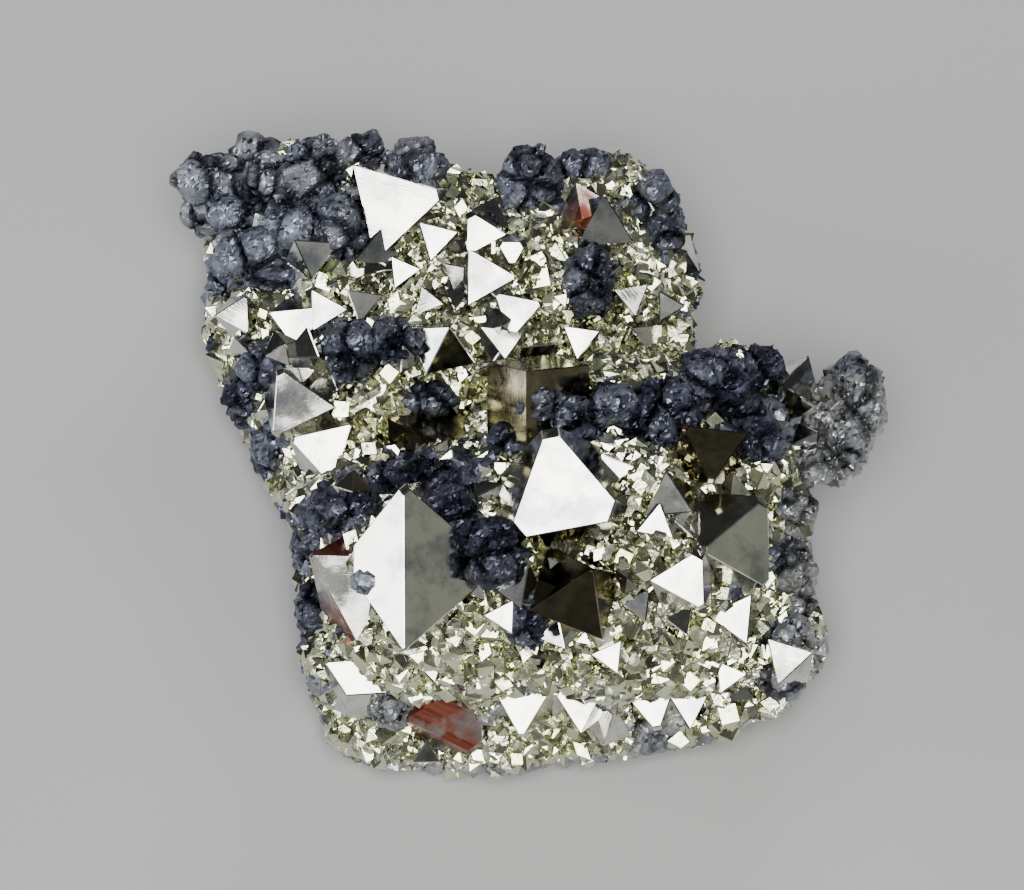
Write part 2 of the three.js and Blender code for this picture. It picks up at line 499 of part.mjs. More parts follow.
// The pyrite: the matrix and every crystal that grew from it, with a socket for each lump.
function pyriteMass(base) {
  const matrix = surfaceBlock().intersect(outlinePrism());
  const crystals = joined([
    ...FACE_CRYSTALS.map(faceCrystal),
    longCrystal(LARGEST_CRYSTAL),
    valleyCube(VALLEY_CUBE),
    ...fillCrystals(),
  ]);
  const breaks = joined(BREAKS.map(({ point, out }) => beyondPlane(point, out)));
  const shaped = matrix.subtract(breaks).add(crystals).subtract(base);
  const sockets = joined(LUMPS.map((lump) => lumpSolid(lump, SOCKET_GAP)));
  return largestBody(shaped.simplify(FINEST_DETAIL).subtract(sockets).simplify(SOCKET_GAP / 3));
}

// The galena: lumps that touch are one piece.
function galenaPieces(base) {
  const lumps = joined(LUMPS.map((lump) => lumpSolid(lump, 0))).subtract(base);
  const pieces = lumps.decompose().filter((piece) => piece.volume() > SMALLEST_LUMP);
  return pieces.sort((a, b) => a.boundingBox().min[0] - b.boundingBox().min[0]);
}

function namedMesh(name, solid, material) {
  const mesh = new THREE.Mesh(geometryOf(solid), material);
  mesh.name = name;
  return mesh;
}

const belowBase = beyondPlane([0, 0, 0], [0, 0, -1]);
const cluster = new THREE.Group();
cluster.add(namedMesh("pyrite_mass", pyriteMass(belowBase), PYRITE));
galenaPieces(belowBase).forEach((piece, i) => {
  cluster.add(namedMesh("galena_lump_" + String(i + 1).padStart(2, "0"), piece, GALENA));
});

// Stand the footprint's box on the origin.
const bounds = new THREE.Box3().setFromObject(cluster);
const middle = bounds.getCenter(new THREE.Vector3());
cluster.position.set(-middle.x, -middle.y, -bounds.min.z);

export default cluster;
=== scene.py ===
"""A cluster of pyrite crystals with lumps of galena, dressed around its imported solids."""

import math
from itertools import product

import bmesh
import bpy
import numpy as np
from mathutils import Matrix, Vector


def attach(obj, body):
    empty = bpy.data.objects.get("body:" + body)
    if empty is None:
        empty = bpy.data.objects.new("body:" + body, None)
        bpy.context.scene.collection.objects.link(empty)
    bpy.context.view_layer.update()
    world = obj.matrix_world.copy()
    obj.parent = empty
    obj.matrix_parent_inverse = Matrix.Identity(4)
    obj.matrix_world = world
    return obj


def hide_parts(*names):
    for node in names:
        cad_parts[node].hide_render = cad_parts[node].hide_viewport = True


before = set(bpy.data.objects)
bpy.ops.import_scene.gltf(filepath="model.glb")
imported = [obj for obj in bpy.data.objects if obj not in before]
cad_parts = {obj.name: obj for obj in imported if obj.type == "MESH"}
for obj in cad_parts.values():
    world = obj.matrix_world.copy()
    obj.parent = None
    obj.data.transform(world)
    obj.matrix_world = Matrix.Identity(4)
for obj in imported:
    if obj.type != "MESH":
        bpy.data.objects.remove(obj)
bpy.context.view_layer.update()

# The display view: u to the right, v up the view, w towards the viewer, in millimetres.
MM = 0.001
VIEW_ELEVATION = math.radians(60)
SIN = math.sin(VIEW_ELEVATION)
COS = math.cos(VIEW_ELEVATION)
VIEW_ORIGIN = np.array([1.858, 4.855, 0.0])
TOWARDS_VIEWER = np.array([0.0, -COS, SIN])
# A distance past every real one, where a search for the nearest begins.
FAR = 1e9

# The small crystals that fill the gaps: how many, their edges, and how far they keep from the
# other crystals' faces, the outline and the lumps.
GRID_HALF = 38
FILL_SEED = 11
FILL_CRYSTALS = 26
FILL_EDGE = (2.8, 4.8)
FILL_MARGIN = 1.4
FILL_INSET = 1.2
FILL_LIFT = 0.1
FILL_LUMP_REACH = 0.8

OUTLINE = [
    (-34, 26), (-32.5, 29.5), (-29, 31), (-24, 31), (-19, 30.5), (-14, 30),
    (-9, 28.2), (-5, 27), (-2, 28.5), (3, 29.5), (7.5, 30), (10, 28.8),
    (12, 26.5), (13.8, 24.5), (15, 20.5), (15.5, 17), (14.6, 14), (14.6, 8.8),
    (16.5, 9.4), (19, 9.8), (23, 9.8), (23.6, 8), (23.8, 3.6), (25.2, 1.8),
    (27.2, 2), (28.6, 4.6), (29.4, 7.4), (30.8, 8.8), (32.2, 9.2), (33.4, 7.5),
    (33.6, 5), (32.4, 2), (31, -1), (29.5, -2.2), (27.2, -1.8), (25.5, -2.8),
    (26, -5), (25.8, -8.5), (26.5, -11.5), (26.3, -15), (27.5, -18), (27.5, -20),
    (25, -23), (23, -25.2), (19.5, -26.2), (16, -27.8), (13, -29), (8, -29.2),
    (2, -30), (-4, -30.8), (-11, -30.8), (-17, -30.2), (-20, -28.8), (-21.2, -25.5),
    (-22.8, -20.5), (-23.5, -15), (-23.7, -10), (-24, -7), (-25.5, -5.5), (-27.8, -2),
    (-30, 4), (-31.8, 8), (-33.5, 12), (-33.8, 17), (-33.7, 21.5),
]

# Spot heights of the matrix above the base: u, v, height. Between them it is a weighted mean,
# whose weights fall with distance.
SPOT_SOFTENING = 0.6
SPOT_FALL = 1.6
SPOT_HEIGHTS = np.array([
    (-31, 28, 17), (-24, 29, 20), (-16, 28.5, 21), (-9, 27, 19), (-2, 27, 20), (6, 28, 20),
    (12, 24, 17), (15, 17, 14), (-29, 23, 17), (-21, 22, 20), (-12, 21, 22), (-4, 20, 22),
    (4, 21, 21), (10, 19, 18), (-18, 13, 20), (-12, 11, 21), (-6, 12, 19), (2, 12, 17),
    (8, 13, 15), (12, 11, 12),
    (-33.4, 20, 6), (-33.5, 14, 4), (-31.5, 8, 4), (-29.5, 3, 3), (-27, -2, 3), (-25, -5.5, 3),
    (-30, 14, 15), (-26, 11, 17), (-27, 6, 13), (-24, 4, 17), (-22, -1, 16), (-24, -2, 12),
    (-9, 3, 15), (-4, 5, 12), (2, 7.5, 11), (8, 9, 10), (13, 8, 9), (-14, 0, 14),
    (-21, -5.5, 20), (-17, -4, 23), (-11, -2, 25), (-5, -1.5, 24), (0, 4, 26), (6, 4.5, 27),
    (11, 6, 27), (16, 7.5, 26), (20, 8.5, 24),
    (-19, -10, 24), (-12, -10, 28), (-6, -8, 28), (2, -4, 29), (10, -2, 29), (16, 0, 28),
    (22, -1, 25), (-20, -16, 21), (-12, -16, 25), (-4, -14, 26), (4, -12, 27), (12, -10, 27),
    (20, -10, 24), (25, -10, 18),
    (-20, -22, 15), (-12, -22, 17), (-4, -21, 19), (6, -20, 20), (16, -19, 18), (23, -20, 14),
    (26.5, -19, 10), (-19, -28, 5), (-11, -28, 7), (-2, -28, 7), (8, -27, 8), (16, -25.5, 9),
    (22, -24, 8), (-10, -30.8, 2), (2, -30, 2.5), (12, -29, 3), (-23.2, -10, 8), (-23.4, -14, 6),
    (-22.8, -19, 4), (-21, -26, 3),
    (25, 1, 20), (29, 0, 21), (32.5, 6, 22), (33.5, 7, 21), (30.5, 2, 21), (26, -3, 20),
    (26, 5, 14), (28.5, 6, 13), (23.5, 6, 15), (26, -6, 16), (26.3, -14, 12),
], float)

# Octahedra placed by one face: its corners, how far its middle rises over the matrix, its tilt and
# its corner cuts. A tilt of one number says which way the face leans, and a tilt of two is degrees
# right and up the view. The last value is how its faces look: a painted red-brown reflection on
# all its faces, the same painted reflection on its side faces only for "edge", and darker, duller
# brass faces for "dark". Cuts and look are left out where there are none.
FACE_CRYSTALS = [
    # The upper shelf.
    ([(-18.9, 29.4), (-9.3, 26.4), (-16.5, 19.5)], 3.2, (-3, 4), (0.02, 0.12, 0.14)),
    ([(-7.2, 24.8), (-3.4, 22.2), (-7.4, 19.8)], 1.8, (4, -2), (0.2, 0, 0.15)),
    ([(-4.4, 21.4), (-1.2, 21.4), (-2.8, 18.6)], 1.8, (-5, -3), (0.2, 0.25, 0.2)),
    ([(-7.4, 20.6), (-2.2, 17.6), (-7.2, 15)], 1.8, (2, 5), (0, 0.05, 0)),
    ([(-4.4, 16.4), (0.2, 15.4), (-3, 11.2)], 1.9, (-4, 3), (0.05, 0.1, 0.1)),
    ([(-12.2, 23.4), (-8.2, 22.4), (-11, 19.4)], 1.8, (5, 0)),
    ([(-9.6, 19.4), (-6.9, 18.6), (-8.6, 16.2)], 1.4, (-8, 2)),
    ([(-13.2, 12.6), (-9, 12.7), (-11.4, 8)], 1.8, 1),
    ([(-7.2, 24.8), (-3.4, 26.6), (-3.2, 22.6)], 1, -1, (0, 0.1, 0.1)),
    ([(1.2, 23.2), (3.6, 27.6), (4.2, 23.6)], 1.6, 1, (), "film"),
    ([(3.8, 21), (6.6, 26.4), (9.6, 21.2)], 2.2, (14, -12)),
    ([(9.2, 23.4), (10.4, 27), (12.6, 23.2)], 1.4, 1),
    ([(11.8, 21.6), (15, 20.6), (12.8, 17.8)], 1.2, 1),
    ([(2.4, 13), (6, 12.4), (3.8, 9.4)], 1.8, (0, 4)),
    ([(-2.8, 10.6), (2, 11), (-0.2, 7.4)], 1.6, (8, -14)),
    ([(-19.4, 16.6), (-15.8, 16), (-18.2, 13)], 1.6, (-10, 10)),
    ([(-15, 20), (-12, 18.6), (-14.6, 16.6)], 1.5, (6, -4)),
    ([(-12, 17), (-9.6, 15), (-12.4, 14)], 1.4, (-6, 6)),
    ([(-15.6, 25), (-12.6, 17.4), (-17.8, 19.8)], 0.4, (18, 8)),
    ([(7.6, 16.6), (11, 17.4), (9.6, 13.8)], 1.5, (4, 6)),
    ([(12.2, 16.6), (14.8, 15), (12.2, 13.4)], 1.2, (10, -4)),
    # The left side.
    ([(-33.1, 14), (-29.6, 16.2), (-29.5, 12.1)], 2, (-6, 2), (0, 0.1, 0.08)),
    ([(-27.4, 14.4), (-22, 14.9), (-24.2, 9.8)], 2.2, (-3, -4), (0.05, 0.15, 0.05)),
    ([(-23.2, 16.6), (-19.2, 14.4), (-22.8, 12.6)], 1.6, (-5, 0)),
    ([(-26.6, 8.8), (-20.4, 4.4), (-26.6, 1.8)], 2.4, (-7, -3), (0.12, 0.02, 0.1)),
    ([(-25, 1.6), (-18.8, 3.2), (-20.8, -3.4)], 2.6, (-5, 3), (0.1, 0.05, 0.08)),
    ([(-24.2, 8.2), (-22.2, 9), (-22.4, 6.6)], 1.2, (-4, 4)),
    # The valley and the crest.
    ([(9.3, 12.8), (14.2, 13.4), (12.4, 8)], 2.4, -1),
    ([(-15.4, 3.6), (-6.8, 5), (-7.6, -0.4)], 2.6, -1, (0, 0.08, 0.05), "dark"),
    ([(-17.8, 0.4), (-13.6, 1.2), (-15.2, -2.8)], 2, (2, 0), (0.1, 0.2, 0.25)),
    ([(-10.4, -0.8), (-8.8, 0.6), (-8.4, -1.6)], 1.2, (4, 2)),
    ([(-6.4, -4.2), (-3.6, -2.8), (-4, -6.2)], 1.4, -1),
    # The lower shelf.
    ([(0.7, 3.2), (8.6, -6.2), (-3.3, -8.4)], 3.6, (-2, 5), (0.14, 0.18, 0.16)),
    ([(-22.8, -9.8), (-17.8, -18.8), (-12.6, -10)], 1.4, (-7, -2), (0.04, 0.06, 0), "edge"),
    ([(-21.4, -20.6), (-13.2, -20), (-17, -26.8)], 1.6, (-3, 3), (0.04, 0.06, 0.5)),
    ([(-13.8, -26.2), (-5.6, -21.6), (-5.6, -29.8)], 3, (9, -13), (0.05, 0.2, 0.2), "film"),
    ([(-5, -22.2), (1.3, -22.5), (-1.8, -28)], 2.6, (0, -3), (0, 0.02, 0.08)),
    ([(1.4, -23.2), (6.2, -22.8), (3.9, -27.6)], 2.4, (4, 2), (0.15, 0.15, 0.02)),
    ([(8.2, -23.6), (13.4, -22.6), (11.6, -27.6)], 2.2, (-3, 0), (0, 0.05, 0.15)),
    ([(12.6, -23.8), (16.8, -23.6), (14.8, -27.2)], 1.6, (3, 3)),
    ([(-1.2, -15.2), (5, -11), (6, -18)], 2.4, 1, (0, 0.05, 0), "dark"),
    ([(10.6, -12.2), (15.6, -9), (15.8, -15.2)], 2.8, (5, 0), (0.02, 0.2, 0.1)),
    ([(15.6, -9.4), (22.2, -4), (22.4, -13.2)], 2.6, -1, (0.08, 0.14, 0.1)),
    ([(16.3, -15.9), (20.8, -13.7), (20.2, -18.6)], 2, (2, -3)),
    ([(15.1, -4.2), (19, -1.8), (18.4, -6.4)], 1.8, 1),
    ([(10, -6), (12.2, -1.6), (14.8, -5.6)], 2, -1),
    ([(13.8, 2.8), (20.4, 2.2), (16.6, -3)], 1.8, (10, 16), (0.1, 0, 0.1), "dark"),
    ([(6, 0.2), (9, -1.2), (6.4, -3.8)], 1.6, (6, 4)),
    ([(9, -7.4), (11.6, -5), (13.2, -8)], 1.6, (-4, -4)),
    ([(0.6, -10), (3.6, -11), (1.2, -13.2)], 1.4, 1),
    ([(-12.4, -20.2), (-9.4, -19.4), (-10.4, -22.4)], 1.4, (6, 2)),
    ([(7.6, -14.4), (10.6, -13.2), (10.2, -16.4)], 1.4, 1),
    ([(4.8, -19.4), (7.8, -18.2), (7.6, -21.4)], 1.4, (-4, 4)),
    ([(17.4, -20.4), (20.4, -21.6), (17.6, -23.6)], 1.4, (0, 5)),
    ([(-5.6, -15.6), (-2.6, -14), (-2.8, -17.4)], 1.4, (-6, -2)),
    # The arm.
    ([(24.2, 7), (27.2, 10), (28.6, 4.4)], 2.4, -1),
    ([(24.6, 0.8), (27.6, 2.2), (27.4, -1)], 1.2, 1),
]

# The largest crystal, an octahedron drawn out along one edge, given by the arms from its middle to
# three of its corners. The other three are opposite them.
LARGEST_AT = (-11.7, -10.7)
LARGEST_RISE = -1.0
LARGEST_ARMS = [(-1.55, 7.9, 5.6), (-1.5, -8.3, 5.6), (-7.7, 0.3, 0.5)]
LARGEST_CUT = (0.07, 0.02, 0.2, 0, 0, 0.08)

# The cube in the valley, turned about the view's v and u axes, in degrees.
CUBE_AT = (-0.2, 5.4)
CUBE_RISE = 4.4
CUBE_EDGE = 7.4
CUBE_TURN = (32, 10)

# Galena lumps: u, v, half width, half height.
LUMPS = [
    (-33.8, 28.2, 4, 2.6), (-34.6, 24.6, 2.2, 2.4), (-29.2, 31, 2.6, 2), (-27.4, 27.6, 3.4, 2.8),
    (-22.8, 28.8, 3.6, 3.4), (-24.6, 23.6, 3.4, 3.4), (-20.2, 22.6, 3, 3.8), (-29, 20.6, 4, 2.8),
    (-31, 24.4, 3, 2.6), (-27, 17.8, 3, 1.8), (-32, 18.4, 2.2, 3), (-18, 30.8, 2.6, 2),
    (-12.8, 29.2, 3.6, 2.6), (-1, 27.6, 3.4, 3.4), (4.4, 29.2, 3.2, 1.6), (11.5, 26, 2.6, 2.8),
    (12.8, 22.4, 1.9, 2.4), (5, 17.4, 2.5, 3.6), (-18.8, 10.4, 2.8, 2.8), (-14.8, 11.2, 2.2, 2.2),
    (-11, 5.6, 2.6, 1.8), (-27.8, 8.6, 2.6, 2.6), (-30, 5.6, 2, 3), (-27.2, 0.4, 2, 2.8),
    (-19.4, -5.8, 3.8, 2), (-14.8, -2.4, 2.6, 1.8), (-10.8, -2.4, 3.2, 2.4), (-9.2, -5.8, 3.2, 2.6),
    (-4.4, -9.6, 2.6, 3.2), (0.2, 4.8, 2.4, 2.2), (4.2, 3.2, 3.2, 2.6), (7.4, 4.6, 2.4, 2.2),
    (-2.4, 1.2, 2.4, 2), (12, 3.6, 3.8, 3.6), (17, 7, 3.6, 2.8), (22, 8.6, 2.4, 1.8),
    (20, 3.8, 2.8, 2.4), (21.6, 0.8, 2.6, 2.4), (32, 7.2, 2, 2.3), (32.2, 4, 2, 2.6),
    (30.2, 0.8, 2.3, 2.2), (27, -1.4, 2.4, 1.6), (24.9, -5, 2.4, 2.4), (24.6, -10.4, 2.2, 2.8),
    (25.6, -14.6, 1.8, 2.4), (24.4, -18.2, 2.8, 2.2), (23.8, -22.2, 2.4, 2), (-1.4, -16.4, 1.8, 2.6),
    (11.2, -27.8, 2.4, 1.8), (-14.8, -25.2, 1.9, 1.9), (-22.8, -9.2, 1.6, 2.6), (-22.6, -15.4, 1.5, 2.6),
]


def to_world(points):
    """Points of the view, in millimetres, as metres in the part's own frame."""
    p = np.atleast_2d(np.asarray(points, float))
    placed = np.stack([p[:, 0], p[:, 1] * SIN - p[:, 2] * COS, p[:, 1] * COS + p[:, 2] * SIN], 1)
    return (placed + VIEW_ORIGIN) * MM


def to_view(points):
    """Points of the part's own frame, in metres, as millimetres in the view."""
    p = np.atleast_2d(points) / MM - VIEW_ORIGIN
    return np.stack([p[:, 0], p[:, 1] * SIN + p[:, 2] * COS, -p[:, 1] * COS + p[:, 2] * SIN], 1)


def depth_at(u, v):
    """The matrix's depth in the view at a place, in millimetres."""
    gap = (u - SPOT_HEIGHTS[:, 0]) ** 2 + (v - SPOT_HEIGHTS[:, 1]) ** 2 + SPOT_SOFTENING
    weight = gap ** -SPOT_FALL
    height = (weight * SPOT_HEIGHTS[:, 2]).sum() / weight.sum()
    return (height - v * COS) / SIN


# The crystals of the solids.


def corner_depths(face, lean):
    """How deep a face's corners lie, so that a triangle drawn in the view has three equal edges."""
    a, b, c = (np.array(corner) for corner in face)
    ab, ac = b - a, c - a
    ab_square, ac_square, dot = ab @ ab, ac @ ac, ab @ ac
    total = ab_square + ac_square - dot
    root = math.sqrt(max(0.0, total ** 2 - 3 * (ab_square * ac_square - dot ** 2)))
    edge_square = (total + root) / 1.5
    depth_b = lean * math.sqrt(max(0.0, edge_square - ab_square))
    sign = 1 if edge_square / 2 - dot >= 0 else -1
    depth_c = lean * sign * math.sqrt(max(0.0, edge_square - ac_square))
    return np.array([0.0, depth_b, depth_c])


def leaning_face(face, lean, middle_depth):
    """A face whose corners keep their places in the view and lie at the depths that fit them."""
    depths = corner_depths(face, lean)
    return np.column_stack([np.array(face), middle_depth + depths - depths.mean()])


def tilted_face(face, tilt, middle_depth):
    """The equal-sided triangle nearest to a face's corners, leaning to the right and up the view."""
    corners = np.array(face)
    middle = corners.mean(0)
    arms = corners - middle
    reach = np.linalg.norm(arms, axis=1)
    radius = reach.mean()
    sense = np.sign(arms[0, 0] * arms[1, 1] - arms[0, 1] * arms[1, 0])
    step = sense * 2 * math.pi / 3
    angles = np.arctan2(arms[:, 1], arms[:, 0]) - np.arange(3) * step
    start = math.atan2((reach * np.sin(angles)).sum(), (reach * np.cos(angles)).sum())
    right, up = (math.radians(value) for value in tilt)
    turn = np.array(Matrix.Rotation(-up, 3, "X") @ Matrix.Rotation(right, 3, "Y"))
    around = start + np.arange(3) * step
    flat = np.column_stack([radius * np.cos(around), radius * np.sin(around), np.zeros(3)])
    return flat @ turn.T + (*middle, middle_depth)


def octahedron_corners(front):
    """The six corners of the octahedron whose face towards the viewer is given."""
    centroid = front.mean(0)
    normal = np.cross(front[1] - front[0], front[2] - front[0])
    normal /= np.linalg.norm(normal)
    if normal[2] < 0:
        normal = -normal
    edge = np.linalg.norm(front[1] - front[0])
    centre = centroid - normal * edge / math.sqrt(6)
    return np.vstack([front, 2 * centre - front])


def with_cuts(corners, cut):
    """An octahedron's points, with some corners cut off by a share of its edges."""
    points = []
    for i, corner in enumerate(corners):
        share = cut[i] if i < len(cut) else 0
        if not share:
            points.append(corner)
            continue
        ends = [corners[j] for j in range(6) if j not in (i, (i + 3) % 6)]
        points.extend(corner + (end - corner) * share for end in ends)
    return np.array(points)


def make_random(seed):
    """The same repeatable random numbers that lay out the solids' smaller crystals."""
    state = [seed]

    def signed(value):
        value &= 0xFFFFFFFF
        return value - 0x100000000 if value & 0x80000000 else value

    def draw():
        state[0] = signed(state[0] + 0x6D2B79F5)
        bits = state[0] & 0xFFFFFFFF
        t = signed((bits ^ (bits >> 15)) * (1 | bits))
        low = t & 0xFFFFFFFF
        t = signed(t + signed((low ^ (low >> 7)) * (61 | low))) ^ t
        low = t & 0xFFFFFFFF
        return ((low ^ (low >> 14)) & 0xFFFFFFFF) / 4294967296

    return draw


def near_face(point, face, margin):
    """True inside a face's triangle, grown by a margin, as the view shows it."""
    corners = np.array(face)
    middle = corners.mean(0)
    reach = np.linalg.norm(corners - middle, axis=1)
    grown = middle + (corners - middle) * (1 + margin / reach)[:, None]
    edges = np.roll(grown, -1, 0) - grown
    away = np.array(point) - grown
    side = edges[:, 0] * away[:, 1] - edges[:, 1] * away[:, 0]
    return side.min() >= 0 or side.max() <= 0


def inside_outline(u, v):
    """True inside the cluster's outline in the view."""
    inside = False
    for (ui, vi), (uj, vj) in zip(OUTLINE, OUTLINE[-1:] + OUTLINE[:-1]):
        if (vi > v) != (vj > v) and u < (uj - ui) * (v - vi) / (vj - vi) + ui:
            inside = not inside
    return inside


def on_lump(view):
    """How far out from the nearest lump's middle each point is: under 1 on a lump."""
    share = np.full(len(view), FAR)
    for u, v, a, b in LUMPS:
        share = np.minimum(share, ((view[:, 0] - u) / a) ** 2 + ((view[:, 1] - v) / b) ** 2)
    return share


def quaternion_turn(x, y, z, w):
    """The turn of a unit quaternion, as rows, also for many of them at once."""
    return np.array([
        [1 - 2 * (y * y + z * z), 2 * (x * y - z * w), 2 * (x * z + y * w)],
        [2 * (x * y + z * w), 1 - 2 * (x * x + z * z), 2 * (y * z - x * w)],
        [2 * (x * z - y * w), 2 * (y * z + x * w), 1 - 2 * (x * x + y * y)],
    ])


def fill_crystals():
    """The small crystals that fill the gaps, laid out by repeatable random numbers."""
    draw = make_random(FILL_SEED)
    made = []
    while len(made) < FILL_CRYSTALS:
        u = (draw() * 2 - 1) * GRID_HALF
        v = (draw() * 2 - 1) * GRID_HALF
        edge = FILL_EDGE[0] + (FILL_EDGE[1] - FILL_EDGE[0]) * draw() ** 2
        spin = np.array([draw() - 0.5, draw() - 0.5, draw() - 0.5, draw() - 0.5])
        turn = quaternion_turn(*(spin / np.linalg.norm(spin)))
        covered = any(near_face((u, v), row[0], FILL_MARGIN) for row in FACE_CRYSTALS)
        nudges = [(FILL_INSET, 0), (-FILL_INSET, 0), (0, FILL_INSET), (0, -FILL_INSET)]
        within = all(inside_outline(u + du, v + dv) for du, dv in nudges)
        if not within or covered or on_lump(np.array([(u, v)])) < FILL_LUMP_REACH:
            continue
        centre = np.array([u, v, depth_at(u, v) + FILL_LIFT * edge])
        arms = (turn @ np.eye(3)).T * edge / math.sqrt(2)
        made.append(np.vstack([centre + arms, centre - arms]))
    return made


def all_crystals():
    """Every crystal of the solids: its points in the part's frame and how its faces look."""
    crystals = []
    for face, rise, lean, *rest in FACE_CRYSTALS:
        cut = rest[0] if rest else ()
        look = rest[1] if len(rest) > 1 else ""
        depth = depth_at(*np.array(face).mean(0)) + rise
        make = tilted_face if isinstance(lean, tuple) else leaning_face
        corners = octahedron_corners(make(face, lean, depth))
        crystals.append((to_world(with_cuts(corners, cut)), look))
    centre = np.array([*LARGEST_AT, depth_at(*LARGEST_AT) + LARGEST_RISE])
    arms = np.array(LARGEST_ARMS)
    corners = np.vstack([centre + arms, centre - arms])
    crystals.append((to_world(with_cuts(corners, LARGEST_CUT)), ""))
    about_v, about_u = (math.radians(turn) for turn in CUBE_TURN)
    box = np.array(list(product((-1, 1), repeat=3))) * CUBE_EDGE / 2
    turn_v = np.array(Matrix.Rotation(about_v, 3, "Y"))
    turn_u = np.array(Matrix.Rotation(about_u, 3, "X"))
    box = box @ (turn_u @ turn_v).T
    box += np.array([*CUBE_AT, depth_at(*CUBE_AT) + CUBE_RISE - CUBE_EDGE / 2])
    crystals.append((to_world(box), "dark"))
    crystals.extend((to_world(corners), "") for corners in fill_crystals())
    return crystals


def hull_of(points):
    """The convex hull of some points, and what bmesh tells about it."""
    bm = bmesh.new()
    for p in points:
        bm.verts.new(p)
    return bm, bmesh.ops.convex_hull(bm, input=bm.verts)


def crystal_planes(points):
    """The outward planes of a convex crystal, as rows of normal and offset, in metres."""
    bm, _ = hull_of(points)
    rows = [(*face.normal, face.normal.dot(face.verts[0].co)) for face in bm.faces]
    bm.free()
    return np.array(rows)


CRYSTALS = all_crystals()
PLANES = [crystal_planes(points) for points, _ in CRYSTALS]


def gap_to_crystals(points):
    """How far each point is outside the nearest crystal, in millimetres, negative inside."""
    best = np.full(len(points), FAR)
    for planes in PLANES:
        gap = (points @ planes[:, :3].T - planes[:, 3]).max(1)
        np.minimum(best, gap, out=best)
    return best / MM


# Helpers for meshes.


def linked(name, data):
    """A new object in the scene."""
    obj = bpy.data.objects.new(name, data)
    bpy.context.scene.collection.objects.link(obj)
    return obj


def new_object(name, mesh):
    obj = linked(name, mesh)
    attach(obj, "root")
    return obj


def mesh_of(name, points, faces):
    mesh = bpy.data.meshes.new(name)
    mesh.from_pydata(points.tolist(), [], faces.tolist())
    mesh.validate()
    return mesh


def remeshed(source, size):
    """A copy of a solid's mesh as an even grid of small faces."""
    copy = linked("remesh_source", source.data.copy())
    modifier = copy.modifiers.new("even", "REMESH")
    modifier.mode = "VOXEL"
    modifier.voxel_size = size * MM
    modifier.adaptivity = 0
    graph = bpy.context.evaluated_depsgraph_get()
    mesh = bpy.data.meshes.new_from_object(copy.evaluated_get(graph))
    old = copy.data
    bpy.data.objects.remove(copy)
    bpy.data.meshes.remove(old)
    return mesh


def read_points(mesh):
    """A mesh's points and their normals."""
    co = np.zeros(len(mesh.vertices) * 3, np.float32)
    mesh.vertices.foreach_get("co", co)
    no = np.zeros(len(mesh.vertices) * 3, np.float32)
    mesh.vertices.foreach_get("normal", no)
    return co.reshape(-1, 3).astype(float), no.reshape(-1, 3).astype(float)


def write_points(mesh, points):
    mesh.vertices.foreach_set("co", points.astype(np.float32).ravel())
    mesh.update()


def set_share(mesh, name, values):
    """Gives each point a value from 0 to 1, which a material reads by its name."""
    share = mesh.attributes.new(name, "FLOAT", "POINT")
    share.data.foreach_set("value", np.clip(values, 0, 1).astype(np.float32))


def cell_relief(points, cell, rng_seed, tilt):
    """Piecewise flat relief: each cell of about that size, in mm, has its own level and tilt.

    Gives the relief from about 0 to 1, the distance to the cell's border and the distance to its
    middle, both as shares of the cell's size.
    """
    rng = np.random.default_rng(rng_seed)
    scaled = points / MM / cell
    base = np.floor(scaled).astype(int)
    low = base.min(0) - 2
    span = base.max(0) - low + 4
    jitter = rng.random((*span, 3))
    level = rng.random(span)
    slope = rng.normal(0, 1, (*span, 3))
    best = np.full(len(points), FAR)
    second = np.full(len(points), FAR)
    value = np.zeros(len(points))
    for step in product((-1, 0, 1), repeat=3):
        cells = base + step
        at = tuple((cells - low).T)
        away = scaled - (cells + jitter[at])
        gap = np.sqrt((away ** 2).sum(1))
        this = level[at] + tilt * (away * slope[at]).sum(1)
        nearer = gap < best
        second = np.where(nearer, best, np.minimum(second, gap))
        value = np.where(nearer, this, value)
        best = np.minimum(best, gap)
    return value, second - best, best


def smooth_noise(points, size, seed):
    """Smooth noise from -1 to 1 with features of about that size, in mm."""
    rng = np.random.default_rng(seed)
    scaled = points / MM / size
    base = np.floor(scaled).astype(int)
    part = scaled - base
    ease = part * part * (3 - 2 * part)
    low = base.min(0)
    grid = rng.random(base.max(0) - low + 3) * 2 - 1
    total = np.zeros(len(points))
    for step in product((0, 1), repeat=3):
        at = tuple((base - low + step).T)
        x, y, z = np.where(step, ease, 1 - ease).T
        total += x * y * z * grid[at]
    return total


def surface_samples(mesh, count, seed):
    """Points spread evenly over a mesh, each with its face's normal."""
    rng = np.random.default_rng(seed)
    mesh.calc_loop_triangles()
    tris = np.zeros(len(mesh.loop_triangles) * 3, int)
    mesh.loop_triangles.foreach_get("vertices", tris)
    tris = tris.reshape(-1, 3)
    co, _ = read_points(mesh)
    a, b, c = co[tris[:, 0]], co[tris[:, 1]], co[tris[:, 2]]
    cross = np.cross(b - a, c - a)
    area = np.linalg.norm(cross, axis=1)
    pick = rng.choice(len(tris), count, p=area / area.sum())
    s, t = rng.random(count), rng.random(count)
    flip = s + t > 1
    s, t = np.where(flip, 1 - s, s), np.where(flip, 1 - t, t)
    points = a[pick] + (b - a)[pick] * s[:, None] + (c - a)[pick] * t[:, None]
    return points, cross[pick] / area[pick][:, None]


def random_turns(count, rng):
    """Turns in every direction alike."""
    q = rng.normal(0, 1, (count, 4))
    q /= np.linalg.norm(q, axis=1)[:, None]
    return quaternion_turn(*q.T).transpose(2, 0, 1)


